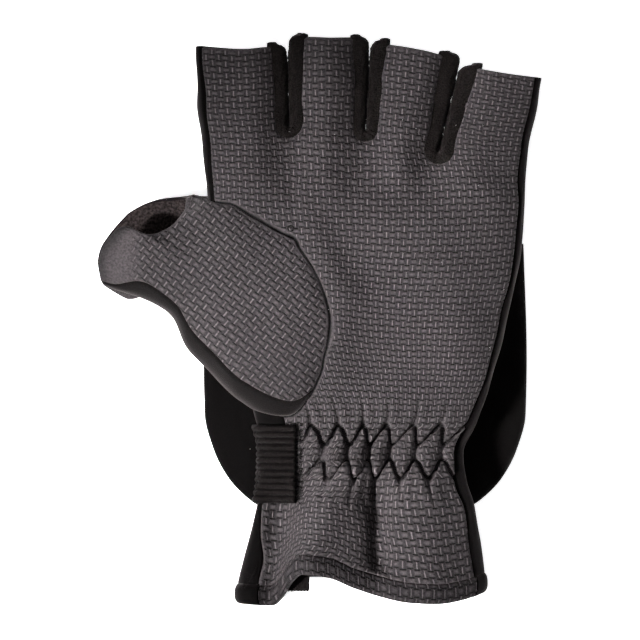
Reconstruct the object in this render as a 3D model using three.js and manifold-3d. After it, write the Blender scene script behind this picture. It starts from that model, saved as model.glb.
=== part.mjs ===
import * as THREE from "three";
import { mergeVertices } from "three/addons/utils/BufferGeometryUtils.js";
import Module from "manifold-3d";

// A left-hand fishing glove with half fingers, an open thumb and a mitten cap folded back.
// It lies on its back with the palm up. Millimetres: X runs from the thumb's side to the
// little finger's, Y from the cuff to the fingertips, Z up from the surface it rests on.

// Driving dimensions
const GLOVE_LENGTH = 200; // cuff hem to the end of the middle finger
const PALM_WIDTH = 109; // across the knuckles
const HAND_DEPTH = 30; // back of the hand to the palm
const CLOTH = 2.5; // wall of foam-backed cloth
const GAP = 0.4; // clearance between pieces that are sewn together
const MITTEN_CAP_LENGTH = 100; // open mouth to rounded end
const MITTEN_CAP_WIDTH = 114;
const MITTEN_CAP_DEPTH = 11; // both layers and the air between them
const THUMB_CAP_LENGTH = 15; // what is not tucked under the thumb
const THUMB_CAP_WIDTH = 29;
const THUMB_CAP_DEPTH = 5.4;
const THUMB_CAP_CLOTH = 1.6;
const FOURCHETTE_CLOTH = 1.8; // wall of the strips between the fingers
const FOURCHETTE_BULGE = 1.5; // how far a strip swells into the space between two fingers
const FINGER_CROWN = 6; // how far the cloth rounds down from a finger's middle to its sides
const FINGER_GROOVE_WIDTH = 28; // width over which it rounds down
const HEM_GAP = 0.6; // from a panel's lower edge to its hem
const HEM_WIDTH = 6.7;
const HEM_THICKNESS = 4.4;
const HEM_SQUARE = 2.5;
const STRAP_WIDTH = 27;
const STRAP_THICKNESS = 1.6;
const STRAP_RIB = 0.5; // height of its ribs
const STRAP_RIBS = 12;
const PUCKERS = 7; // gathers across the wrist
const PUCKER_HEIGHT = 2.4;
const PUCKER_VALLEY = 0.2; // what is left of that height between two bulges, as a share of it
const PUCKER_GROOVE = 1.7; // width of the groove along a row of stitches
const TAB_WIDTH = 7.7;
const TAB_LENGTH = 22;
const TAB_THICKNESS = 1.3;

// Meshing
const PALM_COLUMNS = 28;
const BACK_COLUMNS = 18;
const THUMB_COLUMNS = 10;
const THUMB_ROWS = 11;
const CAP_COLUMNS = 12;
const GAP_SIDE_STEPS = 5;
const GAP_ARC_STEPS = 6;
const STRAP_COLUMNS = 6;
const HEM_SIDES = 8;
const ARC_STEPS = 720;
const CUFF_ROWS = 7;
const GATHER_ROWS = 8;
const PALM_ROWS = 7;
const FINGER_ROWS = 6;
const MITTEN_CAP_ROWS = [0, 0.2, 0.4, 0.55, 0.66, 0.76, 0.84, 0.9, 0.94, 0.97, 1]; // closer at its end
const THUMB_CAP_ROWS = [0, 0.3, 0.55, 0.75, 0.88, 0.96];
const THUMB_CAP_SIDES = 18;
const FOURCHETTE_LEVELS = 3;
const TAB_COLUMNS = 6;
const TAB_ROWS = 3;
const TRIM_SIDES = 40;
const TRIM_RINGS = 24;
const THUMB_RINGS = 14;

// The back of the hand clears the folded mitten cap.
const BACK_HEIGHT = MITTEN_CAP_DEPTH + GAP;

// One record a row, its values named by the heads of their columns.
const table = (names, rows) => {
  return rows.map((row) => Object.fromEntries(names.map((name, i) => [name, row[i]])));
};

// Cross sections of the hand, from the hem to the fingertips. along is a share of the glove's
// length from its middle; left, right, seamLeft and seamRight are shares of the palm's width,
// the seams measured inwards from the outline; lift is a share of the back's height, depth of
// the hand's depth, and square is the section's roundness, 2 for an ellipse.
const HAND = table(
  ["along", "left", "right", "seamLeft", "seamRight", "lift", "depth", "square"],
  [
    [-0.5, -0.277, 0.541, 0.073, 0.036, 0.08, 1.02, 2.6],
    [-0.46, -0.268, 0.535, 0.073, 0.036, 0.12, 1.0, 2.6],
    [-0.385, -0.232, 0.514, 0.032, 0.033, 0.5, 0.9, 2.6],
    [-0.325, -0.205, 0.496, 0.014, 0.033, 0.98, 0.74, 2.5],
    [-0.28, -0.188, 0.468, 0.03, 0.03, 1.2, 0.66, 2.4],
    [-0.23, -0.185, 0.459, 0.07, 0.028, 1.22, 0.66, 2.4],
    [-0.175, -0.205, 0.503, 0.087, 0.025, 1.18, 0.78, 2.5],
    [-0.1, -0.252, 0.552, 0.055, 0.022, 1.08, 0.92, 2.6],
    [0, -0.316, 0.598, 0.02, 0.02, 1, 1, 2.6],
    [0.1, -0.348, 0.637, 0.018, 0.018, 1, 1, 2.6],
    [0.15, -0.353, 0.649, 0.018, 0.018, 1, 0.98, 2.7],
    [0.2, -0.361, 0.654, 0.018, 0.018, 0.9, 0.96, 2.8],
    [0.3, -0.378, 0.667, 0.022, 0.022, 0.62, 0.9, 3],
    [0.385, -0.397, 0.703, 0.025, 0.022, 0.36, 0.78, 3.2],
    [0.5, -0.401, 0.731, 0.014, 0.022, 0.2, 0.7, 3.2],
  ],
);

// The line of the fingertips and the cuff's hem lines: across is a share of the palm's width,
// along of the glove's length.
const FINGERTIP_LINE = [
  { across: -0.4, along: 0.482 },
  { across: -0.26, along: 0.476 },
  { across: -0.12, along: 0.487 },
  { across: -0.06, along: 0.498 },
  { across: 0.03, along: 0.496 },
  { across: 0.12, along: 0.497 },
  { across: 0.2, along: 0.486 },
  { across: 0.29, along: 0.478 },
  { across: 0.385, along: 0.467 },
  { across: 0.49, along: 0.446 },
  { across: 0.6, along: 0.434 },
  { across: 0.72, along: 0.426 },
];
const PALM_HEM_LINE = [
  { across: -0.27, along: -0.459 },
  { across: -0.16, along: -0.462 },
  { across: -0.135, along: -0.45 },
  { across: -0.11, along: -0.42 },
  { across: -0.08, along: -0.406 },
  { across: 0.011, along: -0.411 },
  { across: 0.105, along: -0.43 },
  { across: 0.197, along: -0.446 },
  { across: 0.287, along: -0.4555 },
  { across: 0.381, along: -0.458 },
  { across: 0.46, along: -0.452 },
  { across: 0.54, along: -0.439 },
];
const BACK_HEM_LINE = [
  { across: -0.27, along: -0.459 },
  { across: -0.17, along: -0.462 },
  { across: -0.08, along: -0.415 },
  { across: 0.05, along: -0.415 },
  { across: 0.2, along: -0.435 },
  { across: 0.38, along: -0.453 },
  { across: 0.46, along: -0.452 },
  { across: 0.54, along: -0.439 },
];

// The spaces between the fingers, from the crotch to the fingertips: across and half are shares
// of the palm's width, along of the glove's length.
const FINGER_GAPS = [
  {
    name: "index_middle",
    crotchAcross: -0.101, crotchAlong: 0.322, crotchHalf: 0.034,
    tipAcross: -0.107, tipHalf: 0.048,
  },
  {
    name: "middle_ring",
    crotchAcross: 0.143, crotchAlong: 0.317, crotchHalf: 0.032,
    tipAcross: 0.161, tipHalf: 0.046,
  },
  {
    name: "ring_little",
    crotchAcross: 0.371, crotchAlong: 0.278, crotchHalf: 0.039,
    tipAcross: 0.471, tipHalf: 0.06,
  },
];

// Folds and dents of the palm and cuff, each along a line. Places are shares of the palm's
// width and the glove's length, width of the palm's width and rise of the hand's depth.
const FOLDS = [
  { fromAcross: 0.046, fromAlong: -0.27, toAcross: -0.06, toAlong: -0.43, width: 0.075, rise: 0.24 },
  { fromAcross: 0.1, fromAlong: -0.29, toAcross: 0.08, toAlong: -0.42, width: 0.07, rise: 0.09 },
  { fromAcross: -0.13, fromAlong: -0.32, toAcross: -0.155, toAlong: -0.46, width: 0.05, rise: -0.19 },
  { fromAcross: 0.185, fromAlong: -0.3, toAcross: 0.19, toAlong: -0.42, width: 0.04, rise: -0.13 },
  { fromAcross: 0.28, fromAlong: -0.29, toAcross: 0.33, toAlong: -0.45, width: 0.1, rise: 0.07 },
  { fromAcross: -0.04, fromAlong: 0.14, toAcross: 0.08, toAlong: 0.05, width: 0.06, rise: 0.05 },
  { fromAcross: 0.08, fromAlong: 0.04, toAcross: 0.05, toAlong: -0.1, width: 0.06, rise: 0.05 },
  { fromAcross: 0.415, fromAlong: 0.265, toAcross: 0.57, toAlong: 0.22, width: 0.07, rise: 0.05 },
  { fromAcross: 0.45, fromAlong: 0, toAcross: 0.19, toAlong: -0.13, width: 0.08, rise: 0.05 },
  { fromAcross: 0.2, fromAlong: 0.06, toAcross: 0.26, toAlong: -0.02, width: 0.13, rise: -0.07 },
  { fromAcross: 0.03, fromAlong: 0.3, toAcross: 0.03, toAlong: 0.28, width: 0.05, rise: -0.04 },
  { fromAcross: 0.23, fromAlong: 0.24, toAcross: 0.24, toAlong: 0.22, width: 0.06, rise: -0.04 },
];

// Cross sections of the thumb from inside the hand to its mouth, each between two places of
// its outline. Places are shares of the palm's width and the glove's length; low is a share of
// the thumb's rest height, high of the palm's height, and seam of the section's own width.
const THUMB = table(
  ["along", "topAcross", "topAlong", "lowAcross", "lowAlong", "low", "high", "seam"],
  [
    [0, 0.06, 0.1, 0.05, -0.115, 2.1, 1.02, 0.14],
    [0.16, -0.055, 0.185, -0.1, -0.178, 2.1, 1.085, 0.1],
    [0.32, -0.155, 0.205, -0.262, -0.14, 2.05, 1.06, 0.1],
    [0.45, -0.222, 0.219, -0.364, -0.084, 2.02, 1.0, 0.1],
    [0.6, -0.284, 0.221, -0.433, -0.045, 1.98, 0.9, 0.11],
    [0.75, -0.339, 0.22, -0.48, 0.007, 1.5, 0.82, 0.1],
    [0.88, -0.382, 0.219, -0.57, 0.041, 1.08, 0.73, 0.12],
    [1, -0.413, 0.223, -0.703, 0.061, 0.89, 0.64, 0.14],
  ],
);
const THUMB_SQUARE = 2.2;
const MOUTH_START = 0.72; // where the thumb's rows start to follow its mouth
const THUMB_TOP_SEAM = 0.015; // from the thumb's upper edge, of its section's width
// How far the palm side and the back of the thumb run past its last section: across runs from
// the index finger's side to the outer side, the rest are shares of the palm's width.
const THUMB_MOUTH = [
  { across: 0, front: 0.004, back: 0.006 },
  { across: 0.1, front: -0.026, back: 0.04 },
  { across: 0.23, front: -0.028, back: 0.076 },
  { across: 0.365, front: -0.015, back: 0.096 },
  { across: 0.47, front: 0.014, back: 0.104 },
  { across: 0.54, front: 0.078, back: 0.104 },
  { across: 0.64, front: 0.094, back: 0.103 },
  { across: 0.77, front: 0.093, back: 0.1 },
  { across: 0.88, front: 0.078, back: 0.086 },
  { across: 1, front: 0.024, back: 0.028 },
];

// Outlines of a folded cap: half is a share of its half width, depth of its half depth.
const CAP_OUTLINE = [
  { along: 0, half: 0.98, depth: 1 },
  { along: 0.4, half: 1, depth: 1 },
  { along: 0.6, half: 0.993, depth: 1 },
  { along: 0.72, half: 0.94, depth: 0.97 },
  { along: 0.82, half: 0.85, depth: 0.88 },
  { along: 0.9, half: 0.715, depth: 0.72 },
  { along: 0.96, half: 0.53, depth: 0.48 },
  { along: 1, half: 0.34, depth: 0 },
];
const CAP_SQUARE = 3.6;
const CAP_FLATNESS = 1.06; // its section runs this far past the flat face, which cuts it off

// Places along the length, as shares of it
const FINGER_ROOT = 0.26; // where the rows start to follow the fingertip line
const FINGERTIP_ROW = 0.48; // the fingertip line's typical place
const CUFF_TOP = -0.285; // where they start to follow the hem line
const HEM_ROW = -0.45; // the hem lines' typical place
const GATHERS_TOP = -0.18;
const TRIM_FROM = -0.27; // the part of the hand that trims the thumb
const TRIM_TO = 0.3;
const UPPER_STITCH = -0.199;
const LOWER_STITCH = -0.258;
const STITCH_WAVE = 0.011;
const PUCKER_REACH = 0.06; // how far the bulges run on past the stitches
const PAST_FINGERTIPS = 0.6;
const GROOVE_START = 0.18; // where the fingers begin to show in the palm
const STRAP_END = -0.072; // the strap's free end, across
const FIRST_PUCKER = 0.005; // where the gathers start and reach full height, across from the strap
const FULL_PUCKER = 0.03;
const STRAP_TOP = -0.182;
const MITTEN_CAP_MOUTH = 0.135;
const MITTEN_CAP_CENTRE = 0.1445; // across
const THUMB_CAP_MOUTH = { across: -0.637, along: 0.124 };
const THUMB_CAP_TURN = 15; // degrees from the thumb's mouth
const HEM_END = 0.012; // how far a hem stops short of the side seam, of the way across
const TAB_CENTRE = -0.072; // across
const TAB_END = -0.4745;

const wasm = await Module();
wasm.setup();

// A column of a table as a smooth function of its place column, with no overshoot.
function column(rows, place, value) {
  const slopeTo = rows.slice(1).map((row, i) => {
    return (row[value] - rows[i][value]) / (row[place] - rows[i][place]);
  });
  const slopes = rows.map((row, i) => {
    const before = slopeTo[Math.max(i - 1, 0)];
    const after = slopeTo[Math.min(i, slopeTo.length - 1)];
    return before * after <= 0 ? 0 : (2 * before * after) / (before + after);
  });
  return (at) => {
    const clamped = THREE.MathUtils.clamp(at, rows[0][place], rows.at(-1)[place]);
    const next = rows.findIndex((row, i) => i > 0 && row[place] >= clamped);
    const [a, b] = [rows[next - 1], rows[next]];
    const span = b[place] - a[place];
    const t = (clamped - a[place]) / span;
    const t2 = t * t;
    const t3 = t2 * t;
    return (2 * t3 - 3 * t2 + 1) * a[value] + (t3 - 2 * t2 + t) * span * slopes[next - 1]
      + (3 * t2 - 2 * t3) * b[value] + (t3 - t2) * span * slopes[next];
  };
}

const columnsOf = (rows, place, names) => {
  return Object.fromEntries(names.map((name) => [name, column(rows, place, name)]));
};
const hand = columnsOf(HAND, "along", ["left", "right", "seamLeft", "seamRight", "lift", "depth", "square"]);
const fingertipLine = column(FINGERTIP_LINE, "across", "along");
const palmHemLine = column(PALM_HEM_LINE, "across", "along");
const backHemLine = column(BACK_HEM_LINE, "across", "along");
const THUMB_COLUMN_NAMES = ["topAcross", "topAlong", "lowAcross", "lowAlong", "low", "high", "seam"];
const thumb = columnsOf(THUMB, "along", THUMB_COLUMN_NAMES);
const thumbMouth = columnsOf(THUMB_MOUTH, "across", ["front", "back"]);
const capOutline = columnsOf(CAP_OUTLINE, "along", ["half", "depth"]);

const signedPower = (value, power) => Math.sign(value) * Math.abs(value) ** power;
const smoothStep = (value, from, to) => THREE.MathUtils.smoothstep(value, from, to);
const lerp = THREE.MathUtils.lerp;

// Distance from a point of the plan to a line between two others.
function distanceToLine(x, y, x1, y1, x2, y2) {
  const [dx, dy] = [x2 - x1, y2 - y1];
  const t = THREE.MathUtils.clamp(((x - x1) * dx + (y - y1) * dy) / (dx * dx + dy * dy), 0, 1);
  return Math.hypot(x - x1 - t * dx, y - y1 - t * dy);
}

// The height that the folds add to the palm at a place of the plan.
function foldHeight(x, y) {
  return FOLDS.reduce((height, fold) => {
    const distance = distanceToLine(x, y, fold.fromAcross * PALM_WIDTH, fold.fromAlong * GLOVE_LENGTH,
      fold.toAcross * PALM_WIDTH, fold.toAlong * GLOVE_LENGTH);
    return height + fold.rise * HAND_DEPTH * Math.exp(-((distance / (fold.width * PALM_WIDTH)) ** 2));
  }, 0);
}

// The middle and the half width of a space between fingers at a place along the glove.
const gapShare = (gap, y) => (y / GLOVE_LENGTH - gap.crotchAlong) / (0.5 - gap.crotchAlong);
const gapCentre = (gap, y) => PALM_WIDTH * lerp(gap.crotchAcross, gap.tipAcross, gapShare(gap, y));
const gapHalf = (gap, y) => PALM_WIDTH * lerp(gap.crotchHalf, gap.tipHalf, gapShare(gap, y));

// How far the cloth sinks beside a finger.
function fingerGroove(x, y) {
  return FINGER_GAPS.reduce((depth, gap) => {
    const u = (2 * (x - gapCentre(gap, y))) / FINGER_GROOVE_WIDTH;
    const ramp = smoothStep(y / GLOVE_LENGTH, GROOVE_START, gap.crotchAlong);
    return depth + (Math.abs(u) < 1 ? (FINGER_CROWN * ramp * (Math.cos(Math.PI * u) + 1)) / 2 : 0);
  }, 0);
}

function handSection(y) {
  const along = y / GLOVE_LENGTH;
  const left = hand.left(along) * PALM_WIDTH;
  const right = hand.right(along) * PALM_WIDTH;
  const low = hand.lift(along) * BACK_HEIGHT;
  const depth = hand.depth(along) * HAND_DEPTH;
  return {
    centre: (left + right) / 2,
    halfWidth: (right - left) / 2,
    middle: low + depth / 2,
    halfDepth: depth / 2,
    power: 2 / hand.square(along),
    seamLeft: hand.seamLeft(along) * PALM_WIDTH,
    seamRight: hand.seamRight(along) * PALM_WIDTH,
  };
}

// A point of the hand's surface. turn is the angle round the section, 0 on the little finger's
// side and a quarter turn on the palm; inset moves it into the cloth.
function handPoint(turn, y, inset = 0) {
  const section = handSection(y);
  const across = signedPower(Math.cos(turn), section.power);
  const up = signedPower(Math.sin(turn), section.power);
  const plainX = section.centre + section.halfWidth * across;
  const shape = up > 0 ? foldHeight(plainX, y) - fingerGroove(plainX, y) : -fingerGroove(plainX, y);
  return new THREE.Vector3(
    section.centre + (section.halfWidth - inset) * across,
    y,
    section.middle + (section.halfDepth - inset) * up + shape * up,
  );
}

// The height of the palm, side 1, or of the back of the hand, side -1, at a place of the plan.
function handHeight(x, y, side, inset = 0) {
  const section = handSection(y);
  const across = THREE.MathUtils.clamp((x - section.centre) / section.halfWidth, -1, 1);
  const turn = side * Math.acos(signedPower(across, 1 / section.power));
  return handPoint(turn, y, inset).z;
}

// Lengths round a typical section, so that columns are spaced evenly round it.
const typicalRatio = HAND_DEPTH / PALM_WIDTH;
const typicalPower = 2 / 2.7;
const arcLengths = [0];
for (let i = 1; i <= ARC_STEPS; i++) {
  const [a, b] = [i - 1, i].map((step) => {
    const turn = (2 * Math.PI * step) / ARC_STEPS;
    const height = typicalRatio * signedPower(Math.sin(turn), typicalPower);
    return [signedPower(Math.cos(turn), typicalPower), height];
  });
  arcLengths.push(arcLengths[i - 1] + Math.hypot(b[0] - a[0], b[1] - a[1]));
}
function arcOfTurn(turn) {
  const step = (turn / (2 * Math.PI)) * ARC_STEPS;
  const laps = Math.floor(step / ARC_STEPS);
  const within = step - laps * ARC_STEPS;
  const i = Math.min(Math.floor(within), ARC_STEPS - 1);
  return laps * arcLengths[ARC_STEPS] + lerp(arcLengths[i], arcLengths[i + 1], within - i);
}
function turnOfArc(arc) {
  const laps = Math.floor(arc / arcLengths[ARC_STEPS]);
  const within = arc - laps * arcLengths[ARC_STEPS];
  const next = Math.max(1, arcLengths.findIndex((length) => length >= within));
  const t = (within - arcLengths[next - 1]) / (arcLengths[next] - arcLengths[next - 1]);
  return 2 * Math.PI * (laps + (next - 1 + t) / ARC_STEPS);
}

// The angles of the two side seams at a place along the glove.
function seamTurns(y) {
  const { halfWidth, power, seamLeft, seamRight } = handSection(y);
  const turnAt = (seam) => Math.acos((1 - seam / halfWidth) ** (1 / power));
  return { left: Math.PI - turnAt(seamLeft), right: turnAt(seamRight) };
}

// The angle at a share of the way across the palm, from the thumb's side.
function palmTurn(share, y) {
  const seams = seamTurns(y);
  return turnOfArc(lerp(arcOfTurn(seams.left), arcOfTurn(seams.right), share));
}

// The angle at a share of the way across the back, from the little finger's side.
function backTurn(share, y) {
  const seams = seamTurns(y);
  const gap = GAP / handSection(y).halfWidth;
  const lap = 2 * Math.PI;
  return turnOfArc(lerp(arcOfTurn(seams.right) - gap, arcOfTurn(seams.left - lap) + gap, share));
}

// Rows run straight across the hand, then bend to follow the fingertips and the hem.
function rowPlace(along, turn, hemLine) {
  if (along > FINGER_ROOT) {
    const across = handPoint(turn, FINGERTIP_ROW * GLOVE_LENGTH).x / PALM_WIDTH;
    const t = (along - FINGER_ROOT) / (0.5 - FINGER_ROOT);
    return GLOVE_LENGTH * lerp(FINGER_ROOT, fingertipLine(across), t);
  }
  if (along < CUFF_TOP) {
    const across = handPoint(turn, HEM_ROW * GLOVE_LENGTH).x / PALM_WIDTH;
    const t = (CUFF_TOP - along) / (CUFF_TOP + 0.5);
    return GLOVE_LENGTH * lerp(CUFF_TOP, hemLine(across), t);
  }
  return along * GLOVE_LENGTH;
}

// The relief of the gathered wrist: bulges above, between and below two waving rows of stitches.
function puckerRelief(x, y, share) {
  const wave = Math.cos(2 * Math.PI * share * PUCKERS);
  const upper = (UPPER_STITCH + STITCH_WAVE * wave) * GLOVE_LENGTH;
  const lower = (LOWER_STITCH - STITCH_WAVE * wave) * GLOVE_LENGTH;
  const reach = PUCKER_REACH * GLOVE_LENGTH;
  const groove = (line) => Math.exp(-(((y - line) / PUCKER_GROOVE) ** 2));
  const inChannel = y > lower && y < upper;
  const fade = inChannel ? 1 : 1 - smoothStep(y > upper ? y - upper : lower - y, 0, reach);
  const swell = (1 + wave) / 2;
  const bulge = inChannel ? lerp(PUCKER_VALLEY, 1, swell) : lerp(1, PUCKER_VALLEY, swell) * fade;
  const firstPucker = (STRAP_END + FIRST_PUCKER) * PALM_WIDTH;
  const fullPucker = (STRAP_END + FULL_PUCKER) * PALM_WIDTH;
  const clearOfStrap = smoothStep(x, firstPucker, fullPucker);
  return PUCKER_HEIGHT * bulge * (1 - groove(upper)) * (1 - groove(lower)) * clearOfStrap;
}

// A geometry from points and triangles.
function geometryOf(points, faces) {
  const geometry = new THREE.BufferGeometry();
  const coordinates = points.flatMap((p) => [p.x, p.y, p.z]);
  geometry.setAttribute("position", new THREE.Float32BufferAttribute(coordinates, 3));
  geometry.setIndex(faces.flat());
  geometry.computeVertexNormals();
  return geometry;
}

// A closed sheet of cloth between two grids of points; outer and inner take a column and a row.
function clothSheet(columns, rows, outer, inner) {
  const points = [];
  for (const side of [outer, inner]) {
    for (let row = 0; row <= rows; row++) {
      for (let col = 0; col <= columns; col++) points.push(side(col, row));
    }
  }
  const at = (col, row) => row * (columns + 1) + col;
  const under = (col, row) => (rows + 1) * (columns + 1) + at(col, row);
  const faces = [];
  const quad = (a, b, c, d) => faces.push([a, b, c], [a, c, d]);
  for (let row = 0; row < rows; row++) {
    for (let col = 0; col < columns; col++) {
      quad(at(col, row), at(col + 1, row), at(col + 1, row + 1), at(col, row + 1));
      quad(under(col, row), under(col, row + 1), under(col + 1, row + 1), under(col + 1, row));
    }
    quad(at(0, row), at(0, row + 1), under(0, row + 1), under(0, row));
    quad(at(columns, row), under(columns, row), under(columns, row + 1), at(columns, row + 1));
  }
  for (let col = 0; col < columns; col++) {
    quad(at(col, 0), under(col, 0), under(col + 1, 0), at(col + 1, 0));
    quad(at(col, rows), at(col + 1, rows), under(col + 1, rows), under(col, rows));
  }
  return geometryOf(points, faces);
}

// A closed tube of rings, filled at both ends; point takes a side and a ring.
function filledTube(sides, rings, point) {
  const points = [];
  for (let ring = 0; ring <= rings; ring++) {
    for (let side = 0; side < sides; side++) points.push(point(side, ring));
  }
  const middleOf = (ring) => {
    const middle = new THREE.Vector3();
    for (let side = 0; side < sides; side++) middle.addScaledVector(points[ring * sides + side], 1 / sides);
    return middle;
  };
  const first = points.push(middleOf(0)) - 1;
  const last = points.push(middleOf(rings)) - 1;
  const faces = [];
  for (let side = 0; side < sides; side++) {
    const next = (side + 1) % sides;
    for (let ring = 0; ring < rings; ring++) {
      const [a, b] = [ring * sides + side, ring * sides + next];
      faces.push([a, b, b + sides], [a, b + sides, a + sides]);
    }
    faces.push([first, next, side], [last, rings * sides + side, rings * sides + next]);
  }
  return geometryOf(points, faces);
}

// A pocket of cloth, open at ring 0 and closed at the last ring.
function clothPocket(sides, rings, outer, inner) {
  const points = [];
  for (const skin of [outer, inner]) {
    for (let ring = 0; ring <= rings; ring++) {
      for (let side = 0; side < sides; side++) points.push(skin(side, ring));
    }
  }
  const innerStart = (rings + 1) * sides;
  const faces = [];
  const quad = (a, b, c, d) => faces.push([a, b, c], [a, c, d]);
  const endMiddle = (start) => {
    const middle = new THREE.Vector3();
    for (let side = 0; side < sides; side++) {
      middle.addScaledVector(points[start + rings * sides + side], 1 / sides);
    }
    return points.push(middle) - 1;
  };
  const outerEnd = endMiddle(0);
  const innerEnd = endMiddle(innerStart);
  for (let side = 0; side < sides; side++) {
    const next = (side + 1) % sides;
    for (let ring = 0; ring < rings; ring++) {
      const [a, b] = [ring * sides + side, ring * sides + next];
      quad(a, b, b + sides, a + sides);
      quad(innerStart + a, innerStart + a + sides, innerStart + b + sides, innerStart + b);
    }
    quad(side, innerStart + side, innerStart + next, next);
    faces.push([outerEnd, rings * sides + side, rings * sides + next]);
    faces.push([innerEnd, innerStart + rings * sides + next, innerStart + rings * sides + side]);
  }
  return geometryOf(points, faces);
}

function solidOf(geometry) {
  const bare = geometry.clone();
  bare.deleteAttribute("normal");
  bare.deleteAttribute("uv");
  const merged = mergeVertices(bare, 1e-4);
  return new wasm.Manifold(new wasm.Mesh({
    numProp: 3,
    vertProperties: merged.attributes.position.array,
    triVerts: new Uint32Array(merged.index.array),
  }));
}

// The geometry of a solid's largest body.
function largestBody(solid) {
  const body = solid.decompose().reduce((a, b) => (b.volume() > a.volume() ? b : a));
  const mesh = body.getMesh();
  const geometry = new THREE.BufferGeometry();
  geometry.setAttribute("position", new THREE.Float32BufferAttribute(mesh.vertProperties, 3));
  geometry.setIndex(new THREE.BufferAttribute(mesh.triVerts, 1));
  geometry.computeVertexNormals();
  return geometry;
}

// The U-shaped edge of a space between fingers, from the fingertip on its left round the crotch
// to the fingertip on its right. inward moves it towards the middle of the space.
function gapEdge(gap, inward, tipPlace) {
  const crotch = gap.crotchAlong * GLOVE_LENGTH + gap.crotchHalf * PALM_WIDTH;
  const radius = gapHalf(gap, crotch) - inward;
  const points = [];
  const sidePoint = (side, t) => {
    const tip = tipPlace(PALM_WIDTH * (gap.tipAcross + side * gap.tipHalf));
    const y = lerp(tip, crotch, t);
    return new THREE.Vector2(gapCentre(gap, y) + side * (gapHalf(gap, y) - inward), y);
  };
  for (let i = 0; i < GAP_SIDE_STEPS; i++) points.push(sidePoint(-1, i / GAP_SIDE_STEPS));
  for (let i = 0; i <= GAP_ARC_STEPS; i++) {
    const turn = Math.PI * (1 + i / GAP_ARC_STEPS);
    points.push(new THREE.Vector2(
      gapCentre(gap, crotch) + radius * Math.cos(turn),
      crotch + radius * Math.sin(turn),
    ));
  }
  for (let i = GAP_SIDE_STEPS - 1; i >= 0; i--) points.push(sidePoint(1, i / GAP_SIDE_STEPS));
  return points;
}

// A block that cuts a space between fingers out of the palm and the back.
function gapCutter(gap) {
  const outline = gapEdge(gap, 0, () => PAST_FINGERTIPS * GLOVE_LENGTH);
  const height = BACK_HEIGHT + 2 * HAND_DEPTH;
  const block = new THREE.ExtrudeGeometry(new THREE.Shape(outline), { depth: height, bevelEnabled: false });
  block.translate(0, 0, -HAND_DEPTH / 2);
  return solidOf(block);
}

// A point of the thumb's surface. turn is 0 on its outer side and a quarter turn on its palm
// side; along runs from inside the hand to the mouth.
function thumbPoint(turn, along, inset = 0) {
  const top = new THREE.Vector2(thumb.topAcross(along) * PALM_WIDTH, thumb.topAlong(along) * GLOVE_LENGTH);
  const low = new THREE.Vector2(thumb.lowAcross(along) * PALM_WIDTH, thumb.lowAlong(along) * GLOVE_LENGTH);
  const across = low.clone().sub(top);
  const halfWidth = across.length() / 2;
  across.normalize();
  const floor = thumb.low(along) * (THUMB_CAP_DEPTH + GAP);
  const ceiling = thumb.high(along) * (BACK_HEIGHT + HAND_DEPTH);
  const c = signedPower(Math.cos(turn), 2 / THUMB_SQUARE);
  const s = signedPower(Math.sin(turn), 2 / THUMB_SQUARE);
  const share = (1 + c) / 2;
  const mouth = s > 0 ? thumbMouth.front(share) : thumbMouth.back(share);
  const past = mouth * PALM_WIDTH * Math.sqrt(Math.abs(s)) * smoothStep(along, MOUTH_START, 1);
  return new THREE.Vector3(
    (top.x + low.x) / 2 + across.x * (halfWidth - inset) * c + across.y * past,
    (top.y + low.y) / 2 + across.y * (halfWidth - inset) * c - across.x * past,
    (floor + ceiling) / 2 + ((ceiling - floor) / 2 - inset) * s,
  );
}

// The thumb's two seams as angles: near its outer side, and near the index finger.
function thumbSeams(along) {
  const turnAt = (share) => Math.acos((1 - 2 * share) ** (THUMB_SQUARE / 2));
  return { low: turnAt(thumb.seam(along)), top: Math.PI - turnAt(THUMB_TOP_SEAM) };
}

// Rows of the palm and the back: closer together where the wrist is gathered.
const evenRows = (from, to, count) => Array.from({ length: count }, (_, i) => lerp(from, to, i / count));
const HAND_ROWS = [
  ...evenRows(-0.5, CUFF_TOP, CUFF_ROWS),
  ...evenRows(CUFF_TOP, GATHERS_TOP, GATHER_ROWS),
  ...evenRows(GATHERS_TOP, FINGER_ROOT, PALM_ROWS),
  ...evenRows(FINGER_ROOT, 0.5, FINGER_ROWS),
  0.5,
];

// The whole hand and the thumb's hollow as solids, to trim the pieces where they meet.
function handBlock(inset) {
  return solidOf(filledTube(TRIM_SIDES, TRIM_RINGS, (side, ring) => {
    const turn = turnOfArc(-(arcLengths[ARC_STEPS] * side) / TRIM_SIDES);
    return handPoint(turn, GLOVE_LENGTH * lerp(TRIM_FROM, TRIM_TO, ring / TRIM_RINGS), inset);
  }));
}
const thumbHollow = solidOf(filledTube(TRIM_SIDES, THUMB_RINGS, (side, ring) =>
  thumbPoint((2 * Math.PI * side) / TRIM_SIDES, ring / THUMB_RINGS, CLOTH + GAP)));

// The palm or back sheet with the spaces between the fingers and the thumb's hole cut out.
function cutHandSheet(sheet) {
  const cutters = FINGER_GAPS.map(gapCutter);
  const fingers = cutters.reduce((solid, cutter) => solid.subtract(cutter), solidOf(sheet));
  return largestBody(fingers.subtract(thumbHollow));
}

function palmPanel() {
  const skin = (inset) => (col, row) => {
    const share = col / PALM_COLUMNS;
    const turn = palmTurn(share, HAND_ROWS[row] * GLOVE_LENGTH);
    const y = rowPlace(HAND_ROWS[row], turn, palmHemLine);
    const point = handPoint(turn, y, inset);
    if (inset === 0) point.z += puckerRelief(point.x, y, share) * Math.sin(turn);
    return point;
  };
  const sheet = clothSheet(PALM_COLUMNS, HAND_ROWS.length - 1, skin(0), skin(CLOTH));
  return cutHandSheet(sheet);
}

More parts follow.
